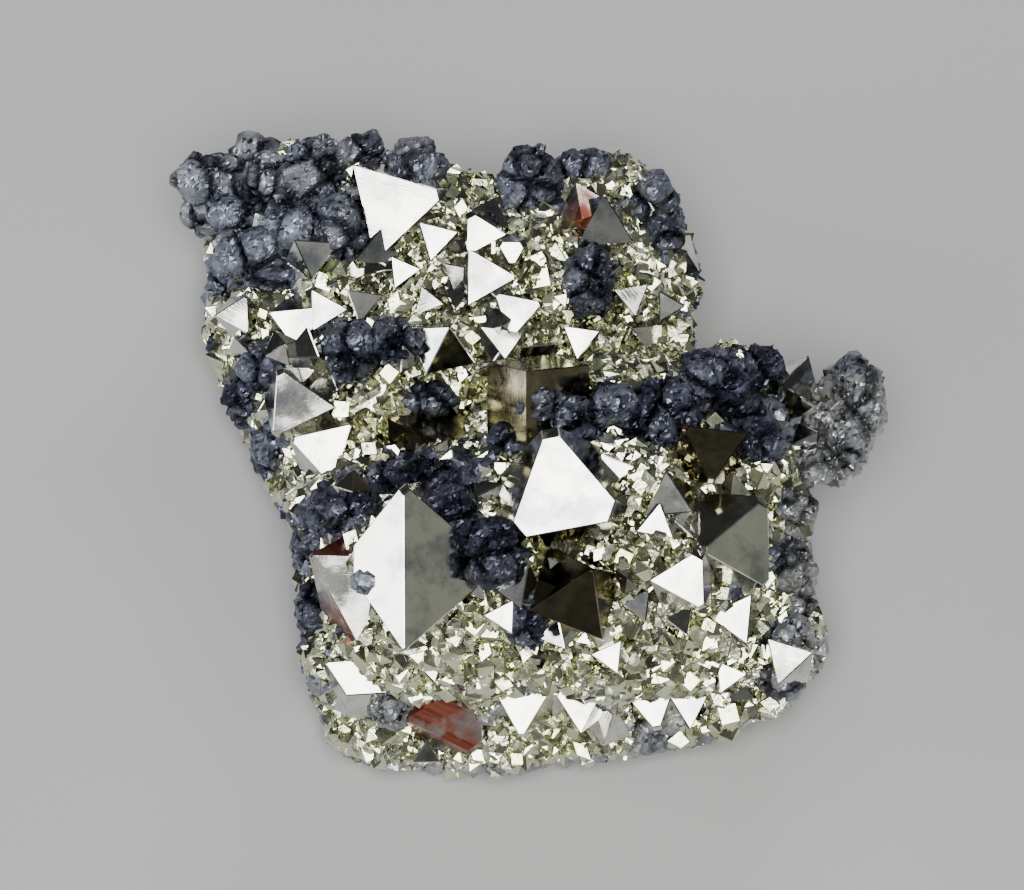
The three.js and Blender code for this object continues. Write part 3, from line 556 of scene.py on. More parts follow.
def hull_shape(points):
    """The convex shape around some points: its corners and its triangles."""
    bm, _ = hull_of(points)
    shape = np.array([v.co[:] for v in bm.verts])
    faces = np.array([[v.index for v in f.verts] for f in bm.faces])
    bm.free()
    return shape, faces


def ring(sides, radius, height, start):
    """Points at even steps round the Z axis."""
    around = [start + 2 * math.pi * i / sides for i in range(sides)]
    return [(radius * math.cos(a), radius * math.sin(a), height) for a in around]


# Small crystals, each with a flat face on +Z: an octahedron, one with blunt corners, and a block.
FACE_RADIUS = 0.816
FACE_HEIGHT = 0.577
OCTAHEDRON = hull_shape(
    ring(3, FACE_RADIUS, FACE_HEIGHT, 0) + ring(3, FACE_RADIUS, -FACE_HEIGHT, math.pi)
)
BLUNT = hull_shape(
    p for a, b in product((-1, 1), repeat=2) for p in ((a, b, 0), (a, 0, b), (0, a, b))
)
BLOCK = hull_shape(product((-1, 1), repeat=3))


def scatter(name, material, centres, sizes, stretch, shape, turns):
    """Many small crystals as one joined mesh, in a mineral's slot."""
    shape_points, shape_faces = shape
    count = len(centres)
    local = shape_points[None] * (sizes[:, None] * stretch)[:, None, :]
    points = np.einsum("nij,nkj->nki", turns, local) * MM + centres[:, None, :]
    faces = shape_faces[None] + (np.arange(count) * len(shape_points))[:, None, None]
    mesh = mesh_of(name, points.reshape(-1, 3), faces.reshape(-1, 3))
    mesh.materials.append(material)
    new_object(name, mesh)
    return mesh


# Materials.


class Nodes:
    """The node tree of a material or a world, built one node at a time."""

    def __init__(self, owner, shader="Principled BSDF"):
        owner.use_nodes = True
        self.owner = owner
        self.tree = owner.node_tree
        self.shader = self.tree.nodes[shader]

    def set(self, key, value):
        self.feed(self.shader, key, value)

    def add(self, kind, inputs=None, **settings):
        node = self.tree.nodes.new(kind)
        for key, value in settings.items():
            setattr(node, key, value)
        for key, value in (inputs or {}).items():
            self.feed(node, key, value)
        return node

    def feed(self, node, key, value):
        if isinstance(value, bpy.types.NodeSocket):
            self.tree.links.new(value, node.inputs[key])
        else:
            node.inputs[key].default_value = value

    def place(self, kind):
        return self.add("ShaderNodeTexCoord").outputs[kind]

    def attribute(self, name):
        return self.add("ShaderNodeAttribute", attribute_name=name).outputs["Fac"]

    def noise(self, vector, scale, detail=3.0, rough=0.55):
        inputs = {"Vector": vector, "Scale": scale, "Detail": detail, "Roughness": rough}
        return self.add("ShaderNodeTexNoise", inputs).outputs["Fac"]

    def ramp(self, factor, stops):
        node = self.add("ShaderNodeValToRGB", {"Fac": factor})
        elements = node.color_ramp.elements
        while len(elements) < len(stops):
            elements.new(0.5)
        for element, (place, colour) in zip(elements, stops):
            element.position = place
            element.color = (*colour, 1)
        return node.outputs["Color"]

    def spread(self, value, low, high, to_low, to_high):
        inputs = {
            "Value": value, "From Min": low, "From Max": high, "To Min": to_low, "To Max": to_high,
        }
        return self.add("ShaderNodeMapRange", inputs).outputs["Result"]

    def mix(self, factor, a, b):
        node = self.add("ShaderNodeMix", data_type="RGBA")
        self.feed(node, 0, factor)
        self.feed(node, 6, a)
        self.feed(node, 7, b)
        return node.outputs[2]

    def bump(self, height, strength, distance, normal=None):
        inputs = {"Height": height, "Strength": strength, "Distance": distance}
        if normal is not None:
            inputs["Normal"] = normal
        return self.add("ShaderNodeBump", inputs).outputs["Normal"]


# Tones of the crystals' faces, as stops of a ramp over noise.
PALE_BRASS = [(0.36, (0.40, 0.42, 0.43)), (0.54, (0.80, 0.79, 0.71))]
DULL_BRASS = [(0.36, (0.12, 0.105, 0.065)), (0.62, (0.33, 0.29, 0.19))]


def face_material(name, tones, film=False):
    """Mirror-like crystal faces with faint growth lines, and on some a red-brown reflection painted into
    the colour.
    """
    n = Nodes(bpy.data.materials.new(name))
    uv = n.place("UV")
    world = n.place("Object")
    tone = n.noise(world, 230.0, 7.0, 0.7)
    brass = n.ramp(tone, tones)
    stretched = n.add("ShaderNodeMapping", {"Vector": uv, "Scale": (0.25, 7.0, 1.0)})
    lines = n.noise(stretched.outputs["Vector"], 1.0, 3.0, 0.6)
    waves = n.noise(uv, 0.16, 1.0, 0.4)
    wavy = n.bump(waves, 0.35, 0.0003)
    lined = n.bump(lines, 0.12, 0.00004, wavy)
    if film:
        # Painted reflection: red-brown patches with streaks, painted into the face colour, with a satin
        # roughness over them.
        cover = n.noise(world, 150.0, 4.0, 0.55)
        share = n.spread(cover, 0.38, 0.54, 0.0, 1.0)
        streaks = n.noise(stretched.outputs["Vector"], 0.35, 3.0, 0.6)
        stops = [(0.25, (0.10, 0.024, 0.015)), (0.55, (0.27, 0.075, 0.045)), (0.85, (0.40, 0.16, 0.11))]
        red_reflection_colour = n.ramp(streaks, stops)
        n.set("Base Color", n.mix(share, brass, red_reflection_colour))
        n.set("Roughness", n.spread(share, 0.0, 1.0, 0.1, 0.34))
        n.set("Metallic", n.spread(share, 0.0, 1.0, 1.0, 0.75))
    else:
        patches = n.noise(world, 300.0, 4.0, 0.65)
        n.set("Base Color", brass)
        n.set("Roughness", n.spread(patches, 0.42, 0.68, 0.03, 0.22))
        n.set("Metallic", 1.0)
    n.set("Normal", lined)
    return n.owner


def druse_material():
    """Fine pyrite crystals: pale brass, here and there greenish, bright."""
    n = Nodes(bpy.data.materials.new("pyrite_druse"))
    world = n.place("Object")
    tone = n.noise(world, 330.0, 3.0)
    stops = [(0.3, (0.54, 0.57, 0.34)), (0.5, (0.74, 0.76, 0.54)), (0.72, (0.92, 0.92, 0.80))]
    n.set("Base Color", n.ramp(tone, stops))
    n.set("Metallic", 1.0)
    patches = n.noise(world, 900.0, 2.0)
    n.set("Roughness", n.spread(patches, 0.35, 0.7, 0.06, 0.3))
    fine = n.noise(world, 2600.0, 2.0)
    n.set("Normal", n.bump(fine, 0.25, 0.0001))
    return n.owner


def matrix_material():
    """The matrix between the crystals: olive pyrite above, dark blue-grey rock at the sides, whose
    darkness is partly painted shade where the faces turn from the viewer.
    """
    n = Nodes(bpy.data.materials.new("pyrite_matrix"))
    world = n.place("Object")
    wall = n.attribute("wall")
    tone = n.noise(world, 420.0, 5.0, 0.65)
    brass = n.ramp(tone, [(0.3, (0.035, 0.036, 0.022)), (0.7, (0.22, 0.22, 0.15))])
    # The rock colour of the sides, back and underside: bare rock, darkened as painted shade on faces
    # turned from the viewer.
    stops = [(0.3, (0.02, 0.024, 0.036)), (0.52, (0.07, 0.08, 0.11)), (0.78, (0.24, 0.27, 0.34))]
    rock_and_shade = n.ramp(tone, stops)
    n.set("Base Color", n.mix(wall, brass, rock_and_shade))
    n.set("Metallic", n.spread(tone, 0.3, 0.7, 0.5, 0.95))
    patches = n.noise(world, 1300.0, 3.0)
    n.set("Roughness", n.spread(patches, 0.35, 0.65, 0.28, 0.6))
    cells = n.add("ShaderNodeTexVoronoi", {"Vector": world, "Scale": 2600.0}, feature="F1")
    grains = n.bump(cells.outputs["Distance"], 0.5, 0.00025)
    fine = n.noise(world, 5200.0, 3.0)
    n.set("Normal", n.bump(fine, 0.35, 0.0001, grains))
    return n.owner


# Painted shade: the near-black colour put into the crevices between galena domes.
CREVICE_SHADE_COLOUR = (0.008, 0.009, 0.016, 1)


def galena_material():
    """Galena: blue-grey metal, painted shade making it dark violet on the crest, a painted highlight
    making it silvery on the arm and the right rim, and painted shade in its crevices.
    """
    n = Nodes(bpy.data.materials.new("galena_grey"))
    world = n.place("Object")
    shade = n.attribute("shade")
    tone = n.noise(world, 330.0, 5.0, 0.65)
    # Painted light: the shade attribute runs from painted shade on the crest at 0 to a painted highlight
    # on the arm and rim at 1, and these ramps give it colour; the noise between them is tone.
    dark_stops = [(0.0, (0.009, 0.009, 0.02)), (0.5, (0.13, 0.145, 0.185)), (1.0, (0.27, 0.28, 0.29))]
    light_stops = [(0.0, (0.082, 0.082, 0.145)), (0.5, (0.45, 0.48, 0.57)), (1.0, (0.72, 0.73, 0.72))]
    dark = n.ramp(shade, dark_stops)
    light = n.ramp(shade, light_stops)
    share = n.spread(tone, 0.34, 0.68, 0.0, 1.0)
    # Painted shade in the crevices between the domes.
    crevice_shade = n.attribute("crevice_shade")
    n.set("Base Color", n.mix(crevice_shade, n.mix(share, dark, light), CREVICE_SHADE_COLOUR))
    n.set("Metallic", 1.0)
    steps = n.add("ShaderNodeTexVoronoi", {"Vector": world, "Scale": 2000.0}, feature="F1")
    glint = n.add("ShaderNodeSeparateColor", {"Color": steps.outputs["Color"]}).outputs["Red"]
    n.set("Roughness", n.spread(glint, 0.0, 1.0, 0.2, 0.8))
    grains = n.bump(steps.outputs["Distance"], 0.2, 0.0002)
    fine = n.noise(world, 3600.0, 4.0)
    n.set("Normal", n.bump(fine, 0.4, 0.0001, grains))
    return n.owner


FACES = face_material("pyrite_faces", PALE_BRASS)
# Faces with a painted red-brown reflection.
RED_REFLECTION = face_material("pyrite_faces_red_reflection", PALE_BRASS, film=True)
# Darker, duller brass faces.
DULL_FACES = face_material("pyrite_faces_dull", DULL_BRASS)
DRUSE = druse_material()
MATRIX = matrix_material()
GALENA = galena_material()


# The large crystals.

FACE_LOOKS = (FACES, RED_REFLECTION, DULL_FACES)
BEVEL = 0.09
# A face turned from the viewer by more than this cosine's angle counts as a side face.
ASIDE = 0.8


def add_crystal(target, uv_layer, points, look):
    """Adds one convex crystal with narrow worn edges, and lays each face out flat in millimetres."""
    bm, hull = hull_of(points)
    inner = [g for g in hull["geom_interior"] if isinstance(g, bmesh.types.BMVert)]
    if inner:
        bmesh.ops.delete(bm, geom=inner, context="VERTS")
    bmesh.ops.dissolve_limit(bm, angle_limit=math.radians(1), verts=bm.verts, edges=bm.edges)
    edges = list(bm.edges)
    bmesh.ops.bevel(bm, geom=edges, offset=BEVEL * MM, segments=1, affect="EDGES", clamp_overlap=True)
    bm.normal_update()
    made = {}
    for vert in bm.verts:
        made[vert] = target.verts.new(vert.co)
    for face in bm.faces:
        new = target.faces.new([made[v] for v in face.verts])
        aside = face.normal.dot(Vector(TOWARDS_VIEWER)) < ASIDE
        # Faces that get the painted red-brown reflection: all of them on some crystals, only the side
        # faces for "edge".
        reflects_red = look == "film" or (look == "edge" and aside)
        plain = DULL_FACES if look == "dark" else FACES
        new.material_index = FACE_LOOKS.index(RED_REFLECTION if reflects_red else plain)
        longest = max(face.edges, key=lambda e: e.calc_length())
        along = (longest.verts[1].co - longest.verts[0].co).normalized()
        across = face.normal.cross(along)
        for loop in new.loops:
            loop[uv_layer].uv = (loop.vert.co.dot(along) / MM, loop.vert.co.dot(across) / MM)
    bm.free()


def build_crystals():
    """All the large crystals, as one piece with three kinds of faces."""
    bm = bmesh.new()
    uv_layer = bm.loops.layers.uv.new("faces")
    for points, look in CRYSTALS:
        add_crystal(bm, uv_layer, [Vector(p) for p in points], look)
    mesh = bpy.data.meshes.new("pyrite_octahedra")
    bm.to_mesh(mesh)
    bm.free()
    for material in FACE_LOOKS:
        mesh.materials.append(material)
    new_object("pyrite_octahedra", mesh)


# The matrix.

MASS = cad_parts["pyrite_mass"]
SKIN_VOXEL = 0.5
# The left wall's edge in the view: its u where v is 0, how much it leans, the range of v where it
# leans, and how softly it starts.
WALL_EDGE = -27.5
WALL_LEAN = 0.35
WALL_REACH = (-40, 12)
WALL_SOFTNESS = 3
# The skin's relief in millimetres: cells, fine cells and slow waves, each with size and height,
# the cracks between cells, and how far the skin sinks under the large crystals.
CELL_SEED, FINE_SEED, WAVE_SEED = 5, 6, 7
CELL_SIZE, CELL_TILT, CELL_HEIGHT = 1.7, 0.55, 0.55
FINE_SIZE, FINE_TILT, FINE_HEIGHT = 0.9, 0.5, 0.22
WAVE_SIZE, WAVE_HEIGHT = 5.0, 0.25
SKIN_OFFSET = -0.12
CRACK_WIDTH, CRACK_DEPTH = 0.12, 0.25
SINK_MARGIN, SINK_DEPTH = 0.35, 0.5
# The relief fades out towards the flat base: the height where it starts, and how fast it grows.
FOOT_HEIGHT, FOOT_FADE = 0.3, 1.5


def wall_share(points, normals):
    """1 on the sides, back and underside, 0 on the two shelves."""
    view = to_view(points)
    facing = normals @ TOWARDS_VIEWER
    upward = normals[:, 2]
    side = np.clip(1.2 - 2.0 * np.maximum(facing, upward), 0, 1)
    edge = WALL_EDGE - WALL_LEAN * np.clip(view[:, 1], *WALL_REACH)
    left = np.clip((edge - view[:, 0]) / WALL_SOFTNESS, 0, 1)
    return np.maximum(side, left * (upward < 0.75))


def build_skin():
    """The matrix's crystalline skin, in place of the plain solid."""
    mesh = remeshed(MASS, SKIN_VOXEL)
    points, normals = read_points(mesh)
    gap = gap_to_crystals(points)
    cells, border, _ = cell_relief(points, CELL_SIZE, CELL_SEED, CELL_TILT)
    fine, _, _ = cell_relief(points, FINE_SIZE, FINE_SEED, FINE_TILT)
    slow = smooth_noise(points, WAVE_SIZE, WAVE_SEED)
    relief = CELL_HEIGHT * (cells - 0.5) + FINE_HEIGHT * (fine - 0.5) + WAVE_HEIGHT * slow + SKIN_OFFSET
    relief -= CRACK_DEPTH * np.clip(1 - border / CRACK_WIDTH, 0, 1)
    relief = np.where(gap < SINK_MARGIN, -SINK_DEPTH, relief)
    height = points[:, 2] / MM
    relief *= np.clip((height - FOOT_HEIGHT) / FOOT_FADE, 0, 1)
    moved = points + normals * relief[:, None] * MM
    moved[:, 2] = np.maximum(moved[:, 2], 0)
    write_points(mesh, moved)
    # The matrix colour turns to dark rock where this share is 1, partly painted shade on the faces
    # turned from the viewer.
    set_share(mesh, "wall", wall_share(points, normals))
    mesh.materials.clear()
    mesh.materials.append(MATRIX)
    skin = new_object("pyrite_matrix", mesh)
    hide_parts("pyrite_mass")


# Druse, shards and grains.


# The v in the view that parts the upper shelf from the lower one.
SHELF_LINE = 5
# The dark crest's line in the view, u and v, how strong it is along the line, and how wide.
CREST_U = [-24, -18, -10, 0, 8, 18, 24]
CREST_V = [-6, -4, -3, 3, 4, 6, 6]
CREST_STRENGTH = 1.3
CREST_WIDTH = 2.6
# Where the galena gets a painted highlight in the view, each as a fade's start and width: the right rim,
# the near side, and the far left corner, which gets less. Then its painted shade on the crest, and what
# those add.
RIM_U, RIM_V = (22.5, 3), (9.5, -2)
NEAR_V = (-19, -4)
FAR_LEFT_U, FAR_LEFT_V = (-6, -6), (16, 5)
FAR_MIDDLE_SHARE, FAR_LEFT_SHARE, NEAR_SHARE = 0.35, 0.8, 0.8
CREST_SHADE, FAR_LEFT_SHADE, HIGHLIGHT_SHADE = 0.17, 0.5, 0.83
# How much the shade varies from grain to grain and from dome to dome.
SHADE_RANGE = 0.3
# The hollow that the arm curls round: its range of u and of v.
HOLLOW_U = (22.6, 30.4)
HOLLOW_V = (0.8, 12)

# Druse: how far it keeps from the large crystals and the lumps, its lowest place, how far it grows
# round to the back, and its sizes, which the room beside a large crystal limits.
DRUSE_SEED, DRUSE_PLACE_SEED = 21, 22
DRUSE_SAMPLES = 150000
DRUSE_GAP = 0.25
DRUSE_LUMP_GAP = 1.05
DRUSE_FLOOR = 1.2
DRUSE_FACING = -0.1
DRUSE_ROOM = (0.1, 0.9)
DRUSE_SMALLEST = 0.22
DRUSE_FALL = 2.4
DRUSE_STRETCH = (0.65, 0.7)
DRUSE_LIFT = 0.3
DRUSE_SPREAD = 9.0
# How seldom druse grows where galena does.
DRUSE_THINNED = 0.93

# Shards: how many, where they grow, the share of places taken on the upper and the lower shelf, and
# their measures. A pair of numbers is a smallest value and the range above it, here and below.
SHARD_SEED, SHARD_PLACE_SEED = 41, 42
SHARD_SAMPLES = 9000
SHARD_COUNT = 1100
SHARD_GAP = 0.3
SHARD_LUMP_GAP = 1.2
SHARD_FACING = 0.45
SHARD_CREST = 0.3
SHARD_SHARES = (0.5, 0.2)
SHARD_LENGTH, SHARD_FALL = (0.5, 1.1), 1.5
SHARD_WIDTH, SHARD_THICKNESS = (0.12, 0.22), (0.1, 0.25)
SHARD_LIFT = (0.35, 0.35)
SHARD_SPREAD = 11.0

# Grains of galena: how many, where they grow, and their sizes.
GRAIN_SEED, GRAIN_PLACE_SEED = 31, 32
GRAIN_SAMPLES = 60000
GRAIN_COUNT = 7500
GRAIN_GAP = 0.2
GRAIN_FLOOR = 0.6
GRAIN_SIZE, GRAIN_FALL = (0.25, 0.75), 2.2
GRAIN_STRETCH = (0.75, 0.5)
GRAIN_LIFT = 0.05
GRAIN_LUMP_REACH = 1.9
GRAIN_NEAR_LUMPS = 0.6
GRAIN_ON_WALLS = 0.8
GRAIN_IN_HOLLOW = 0.35
GRAIN_HEIGHT_SHARE = 2.2


def crest_share(view):
    """1 along the dark crest between the shelves and in the valley behind it."""
    u, v = view[:, 0], view[:, 1]
    away = np.abs(v - np.interp(u, CREST_U, CREST_V))
    return np.clip(CREST_STRENGTH - away / CREST_WIDTH, 0, 1)


def fade(value, start, width):
    """0 up to a start and 1 from a width past it, which is negative where it fades downwards."""
    return np.clip((value - start) / width, 0, 1)


def galena_shade(view):
    """Painted light by place: 0, painted shade, on the dark crest; 1, a painted highlight, on the arm
    and right rim; between the two elsewhere.
    """
    u, v = view[:, 0], view[:, 1]
    rim = fade(u, *RIM_U) * fade(v, *RIM_V)
    leftward = np.maximum(fade(u, *FAR_LEFT_U), FAR_MIDDLE_SHARE)
    far_left = fade(v, *FAR_LEFT_V) * leftward * FAR_LEFT_SHARE
    highlight = np.maximum(rim, NEAR_SHARE * fade(v, *NEAR_V))
    shade = CREST_SHADE + FAR_LEFT_SHADE * far_left + HIGHLIGHT_SHADE * highlight * (1 - far_left)
    return np.clip(shade, 0, 1)


def facing_turns(count, rng, spread):
    """Turns that bring a crystal's +Z face within a few degrees of facing the viewer."""
    out = TOWARDS_VIEWER + rng.normal(0, math.radians(spread), (count, 3))
    out /= np.linalg.norm(out, axis=1)[:, None]
    along = rng.normal(0, 1, (count, 3))
    along -= out * (along * out).sum(1)[:, None]
    along /= np.linalg.norm(along, axis=1)[:, None]
    return np.stack([along, np.cross(out, along), out], 2)


def in_hollow(view):
    """True in the hollow that the arm curls round."""
    u, v = view[:, 0], view[:, 1]
    return (u > HOLLOW_U[0]) & (u < HOLLOW_U[1]) & (v > HOLLOW_V[0]) & (v < HOLLOW_V[1])


def ranged(share, low, span):
    """Values from low to low plus span."""
    return low + span * share


def places(count, seed):
    """Places on the matrix: points, normals, the points in the view, and their gap to crystals."""
    points, normals = surface_samples(MASS.data, count, seed)
    return points, normals, to_view(points), gap_to_crystals(points)


def build_druse():
    """Fine pyrite crystals all over both shelves, sharp and blunt ones."""
    rng = np.random.default_rng(DRUSE_SEED)
    points, normals, view, gap = places(DRUSE_SAMPLES, DRUSE_PLACE_SEED)
    facing = normals @ TOWARDS_VIEWER
    wall = wall_share(points, normals)
    grey_share = np.maximum(crest_share(view), wall)
    keep = (gap > DRUSE_GAP) & (facing > DRUSE_FACING) & (points[:, 2] > DRUSE_FLOOR * MM)
    keep &= ~in_hollow(view) & (on_lump(view) > DRUSE_LUMP_GAP)
    keep &= rng.random(len(points)) > DRUSE_THINNED * grey_share
    order = np.flatnonzero(keep)
    on_upper = view[order, 1] > SHELF_LINE
    upper, lower = order[on_upper], order[~on_upper]
    # Each group's name, places, shape, largest size and share turned towards the viewer.
    groups = [
        ("druse_upper_shelf", upper[::2], OCTAHEDRON, 1.2, 0.3),
        ("druse_upper_blunt", upper[1::2], BLUNT, 0.75, 0.45),
        ("druse_lower_shelf", lower[::2], OCTAHEDRON, 1.0, 0.3),
        ("druse_lower_blunt", lower[1::2], BLUNT, 0.8, 0.45),
    ]
    for name, chosen, shape, largest, bright_share in groups:
        count = len(chosen)
        sizes = ranged(rng.random(count) ** DRUSE_FALL, DRUSE_SMALLEST, largest)
        sizes = np.minimum(sizes, ranged(gap[chosen], *DRUSE_ROOM))
        stretch = ranged(rng.random((count, 3)), *DRUSE_STRETCH)
        turns = random_turns(count, rng)
        bright = rng.random(count) < bright_share
        turns[bright] = facing_turns(bright.sum(), rng, DRUSE_SPREAD)
        centres = points[chosen] + normals[chosen] * (DRUSE_LIFT * sizes * MM)[:, None]
        scatter(name, DRUSE, centres, sizes, stretch, shape, turns)


def build_shards():
    """Thin bright crystals among the druse, most of them with a long face towards the viewer."""
    rng = np.random.default_rng(SHARD_SEED)
    points, normals, view, gap = places(SHARD_SAMPLES, SHARD_PLACE_SEED)
    keep = (gap > SHARD_GAP) & (normals @ TOWARDS_VIEWER > SHARD_FACING)
    keep &= (on_lump(view) > SHARD_LUMP_GAP) & ~in_hollow(view)
    keep &= crest_share(view) < SHARD_CREST
    keep &= rng.random(len(points)) < np.where(view[:, 1] > SHELF_LINE, *SHARD_SHARES)
    chosen = np.flatnonzero(keep)[:SHARD_COUNT]
    count = len(chosen)
    length = ranged(rng.random(count) ** SHARD_FALL, *SHARD_LENGTH)
    width = ranged(rng.random(count), *SHARD_WIDTH)
    thickness = ranged(rng.random(count), *SHARD_THICKNESS)
    stretch = np.column_stack([length, width, thickness])
    lift = ranged(rng.random(count), *SHARD_LIFT)
    centres = points[chosen] + normals[chosen] * lift[:, None] * MM
    turns = facing_turns(count, rng, SHARD_SPREAD)
    scatter("pyrite_shards", DRUSE, centres, np.ones(count), stretch, BLOCK, turns)


def build_grains():
    """Small galena grains on the crest, the side walls and the rims."""
    rng = np.random.default_rng(GRAIN_SEED)
    points, normals, view, gap = places(GRAIN_SAMPLES, GRAIN_PLACE_SEED)
    wall = wall_share(points, normals)
    near = np.clip(GRAIN_LUMP_REACH - on_lump(view), 0, 1) * GRAIN_NEAR_LUMPS
    share = np.maximum(np.maximum(crest_share(view), GRAIN_ON_WALLS * wall), near)
    share[in_hollow(view)] = GRAIN_IN_HOLLOW
    keep = (gap > GRAIN_GAP) & (points[:, 2] > GRAIN_FLOOR * MM) & (rng.random(len(points)) < share)
    chosen = np.flatnonzero(keep)[:GRAIN_COUNT]
    sizes = ranged(rng.random(len(chosen)) ** GRAIN_FALL, *GRAIN_SIZE)
    # Grains near the floor stay small, so that none reaches under it.
    sizes = np.minimum(sizes, points[chosen, 2] / MM / GRAIN_HEIGHT_SHARE)
    stretch = ranged(rng.random((len(chosen), 3)), *GRAIN_STRETCH)
    centres = points[chosen] + normals[chosen] * (GRAIN_LIFT * sizes * MM)[:, None]
    turns = random_turns(len(chosen), rng)
    mesh = scatter("galena_grains", GALENA, centres, sizes, stretch, BLUNT, turns)
    # Each grain's painted light from its place, with a random tone of its own.
    own = galena_shade(view[chosen]) + SHADE_RANGE * (rng.random(len(chosen)) - 0.4)
    set_share(mesh, "shade", np.repeat(own, len(BLUNT[0])))


# A small galena nodule sits in the left face of the largest crystal. It is made of three grains:
# how far each is from its middle in u and v, and its size.
NODULE_AT = (-17.2, -12.4)
# The nodule's level of painted light, halfway between painted shade and painted highlight.
NODULE_SHADE = 0.5
NODULE_SEED = 61
NODULE_GRAINS = [((-0.25, 0.1), 0.85), ((0.3, 0.2), 0.75), ((0.05, -0.35), 0.7)]


def build_nodule():
    """The small galena nodule, set on the plane of the crystal's left face."""
    rng = np.random.default_rng(NODULE_SEED)
    front = np.array([*LARGEST_AT, depth_at(*LARGEST_AT) + LARGEST_RISE])
    a, b, c = (front + arm for arm in np.array(LARGEST_ARMS))
    normal = np.cross(b - a, c - a)
    centres = []
    for (du, dv), _ in NODULE_GRAINS:
        u, v = NODULE_AT[0] + du, NODULE_AT[1] + dv
        depth = a[2] - (normal[0] * (u - a[0]) + normal[1] * (v - a[1])) / normal[2]
        centres.append(to_world([(u, v, depth)])[0])
    sizes = np.array([size for _, size in NODULE_GRAINS])
    stretch = np.ones((len(sizes), 3))
    turns = random_turns(len(sizes), rng)
    mesh = scatter("galena_nodule", GALENA, np.array(centres), sizes, stretch, BLUNT, turns)
    set_share(mesh, "shade", np.full(len(mesh.vertices), NODULE_SHADE))


# The galena lumps.

LUMP_VOXEL = 0.3
LUMP_SWELL = 0.3
# Domes and facets on the lumps, with their sizes in millimetres, and the seams between them.
DOME_SEED, FACET_SEED = 51, 52
DOME_SIZE, DOME_HEIGHT, DOME_MIDDLE, DOME_REACH = 3.9, 1.1, 0.75, 0.95
FACET_SIZE, FACET_TILT = 0.95, 0.6
SEAM_WIDTH, SEAM_DEPTH = 0.12, 0.55
FACET_SEAM_WIDTH, FACET_SEAM_DEPTH = 0.16, 0.35
# How high the facets stand, by the galena's shade.
SHADES = [0.1, 0.3, 0.6, 1.0]
FACET_HEIGHTS = [0.36, 0.12, 0.14, 0.3]
# How far the painted shade reaches out from the seams between domes, in millimetres.
CREVICE_SHADE_WIDTH = 0.3


def build_lumps():
    """The granular skin of each galena lump, in place of its plain solid."""
    for name in sorted(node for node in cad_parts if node.startswith("galena_lump")):
        mesh = remeshed(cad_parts[name], LUMP_VOXEL)
        points, normals = read_points(mesh)
        own = galena_shade(to_view(points))
        level, border, away = cell_relief(points, DOME_SIZE, DOME_SEED, 0.0)
        facets, edges, _ = cell_relief(points, FACET_SIZE, FACET_SEED, FACET_TILT)
        dome = np.sqrt(1 - np.clip(away / DOME_REACH, 0, 1) ** 2)
        rough = np.interp(own, SHADES, FACET_HEIGHTS)
        relief = LUMP_SWELL + DOME_HEIGHT * (dome - DOME_MIDDLE) + rough * (facets - 0.5)
        relief -= SEAM_DEPTH * np.clip(1 - border / SEAM_WIDTH, 0, 1)
        relief -= FACET_SEAM_DEPTH * rough * np.clip(1 - edges / FACET_SEAM_WIDTH, 0, 1)
        moved = points + normals * relief[:, None] * MM
        moved[:, 2] = np.maximum(moved[:, 2], 0)
        write_points(mesh, moved)
        # The painted light from each point's place, with a random tone for each dome.
        set_share(mesh, "shade", own + SHADE_RANGE * (level - 0.5))
        # Painted shade: dark in the seams between domes, none on the dome tops.
        set_share(mesh, "crevice_shade", 0.95 - (border / CREVICE_SHADE_WIDTH) - 0.5 * np.clip(dome - 0.55, 0, 1))
        mesh.materials.clear()
        mesh.materials.append(GALENA)
        lump = new_object(name.replace("galena_lump", "galena_granular"), mesh)
        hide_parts(name)


build_crystals()
build_skin()
build_druse()
build_shards()
build_grains()
build_nodule()
build_lumps()


# Floor, lights and camera.

FLOOR_HALF = 0.6
CAMERA_DISTANCE = 0.62
CAMERA_LENS = 216
CAMERA_CLIP = 0.05
# The middle of the picture, in the view's millimetres.
FRAME_CENTRE = (-2.8, 0.9, 14.0)
KEY_DISTANCE = 1.05
# Each light's name, place, aim, size, power and colour.
LIGHTS = [
    ("key", TOWARDS_VIEWER * KEY_DISTANCE, (0, 0, 0.015), (0.56, 0.5), 8.0, (1.0, 0.99, 0.97)),
    ("left", (-0.8, -0.08, 0.17), (0, 0, 0.02), (0.44, 0.26), 2.4, (0.93, 0.96, 1.0)),
    ("right", (0.78, -0.14, 0.27), (0, 0, 0.02), (0.5, 0.3), 0.1, (0.95, 1.0, 0.84)),
    ("back", (0.25, 0.8, 0.55), (0, 0, 0.015), (0.5, 0.2), 2.2, (1, 1, 1)),
]
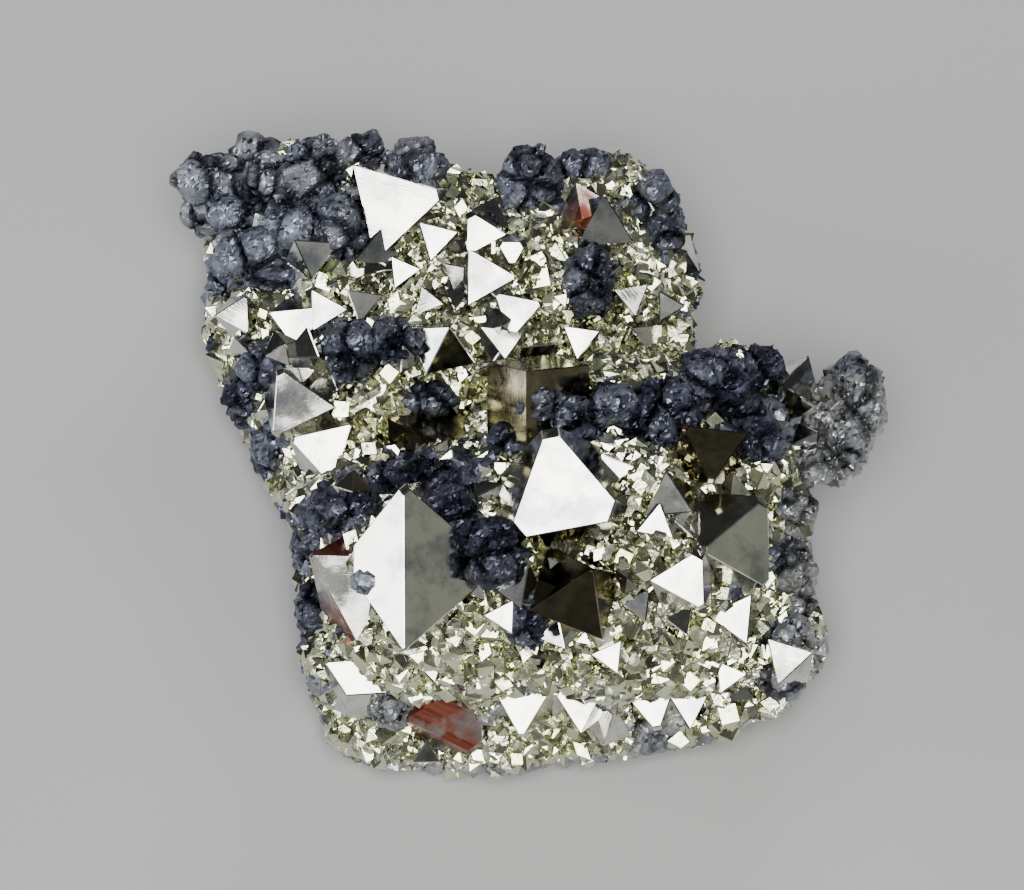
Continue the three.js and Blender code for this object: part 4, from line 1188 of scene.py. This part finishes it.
# The studio's light level by how near a direction is to the viewer's, as cosine and level.
STUDIO_LEVELS = [(0.0, 0.03), (0.5, 0.05), (0.8, 0.16), (1.0, 0.55)]
STUDIO_TINT = (1, 1.02, 1.04)


def build_floor():
    mesh = bpy.data.meshes.new("floor")
    h = FLOOR_HALF
    mesh.from_pydata([(-h, -h, 0), (h, -h, 0), (h, h, 0), (-h, h, 0)], [], [(0, 1, 2, 3)])
    n = Nodes(bpy.data.materials.new("floor_pale"))
    tone = n.noise(n.place("Object"), 9.0, 2.0)
    stops = [(0.2, (0.66, 0.66, 0.66)), (0.8, (0.70, 0.70, 0.70))]
    n.set("Base Color", n.ramp(tone, stops))
    n.set("Roughness", 0.7)
    mesh.materials.append(n.owner)
    linked("floor", mesh)


def area_light(name, place, target, size, power, colour):
    data = bpy.data.lights.new(name, "AREA")
    data.shape = "RECTANGLE"
    data.size, data.size_y = size
    data.energy = power
    data.color = colour
    light = linked(name, data)
    light.location = place
    light.rotation_euler = (Vector(target) - Vector(place)).to_track_quat("-Z", "Y").to_euler()


def build_camera():
    """The camera, at the display view's angle."""
    target = Vector(to_world([FRAME_CENTRE])[0])
    data = bpy.data.cameras.new("camera")
    data.lens = CAMERA_LENS
    data.clip_start = CAMERA_CLIP
    camera = linked("camera", data)
    camera.location = target + Vector(TOWARDS_VIEWER) * CAMERA_DISTANCE
    camera.rotation_euler = (target - camera.location).to_track_quat("-Z", "Y").to_euler()
    bpy.context.scene.camera = camera


def build_world():
    """A dark studio that is paler around the key light, which only the reflections show."""
    n = Nodes(bpy.data.worlds.new("studio"), "Background")
    inputs = {0: n.place("Generated"), 1: TOWARDS_VIEWER}
    cosine = n.add("ShaderNodeVectorMath", inputs, operation="DOT_PRODUCT").outputs["Value"]
    stops = [(at, [tint * level for tint in STUDIO_TINT]) for at, level in STUDIO_LEVELS]
    n.set("Color", n.ramp(cosine, stops))
    bpy.context.scene.world = n.owner


build_floor()
build_camera()
build_world()
for light in LIGHTS:
    area_light(*light)
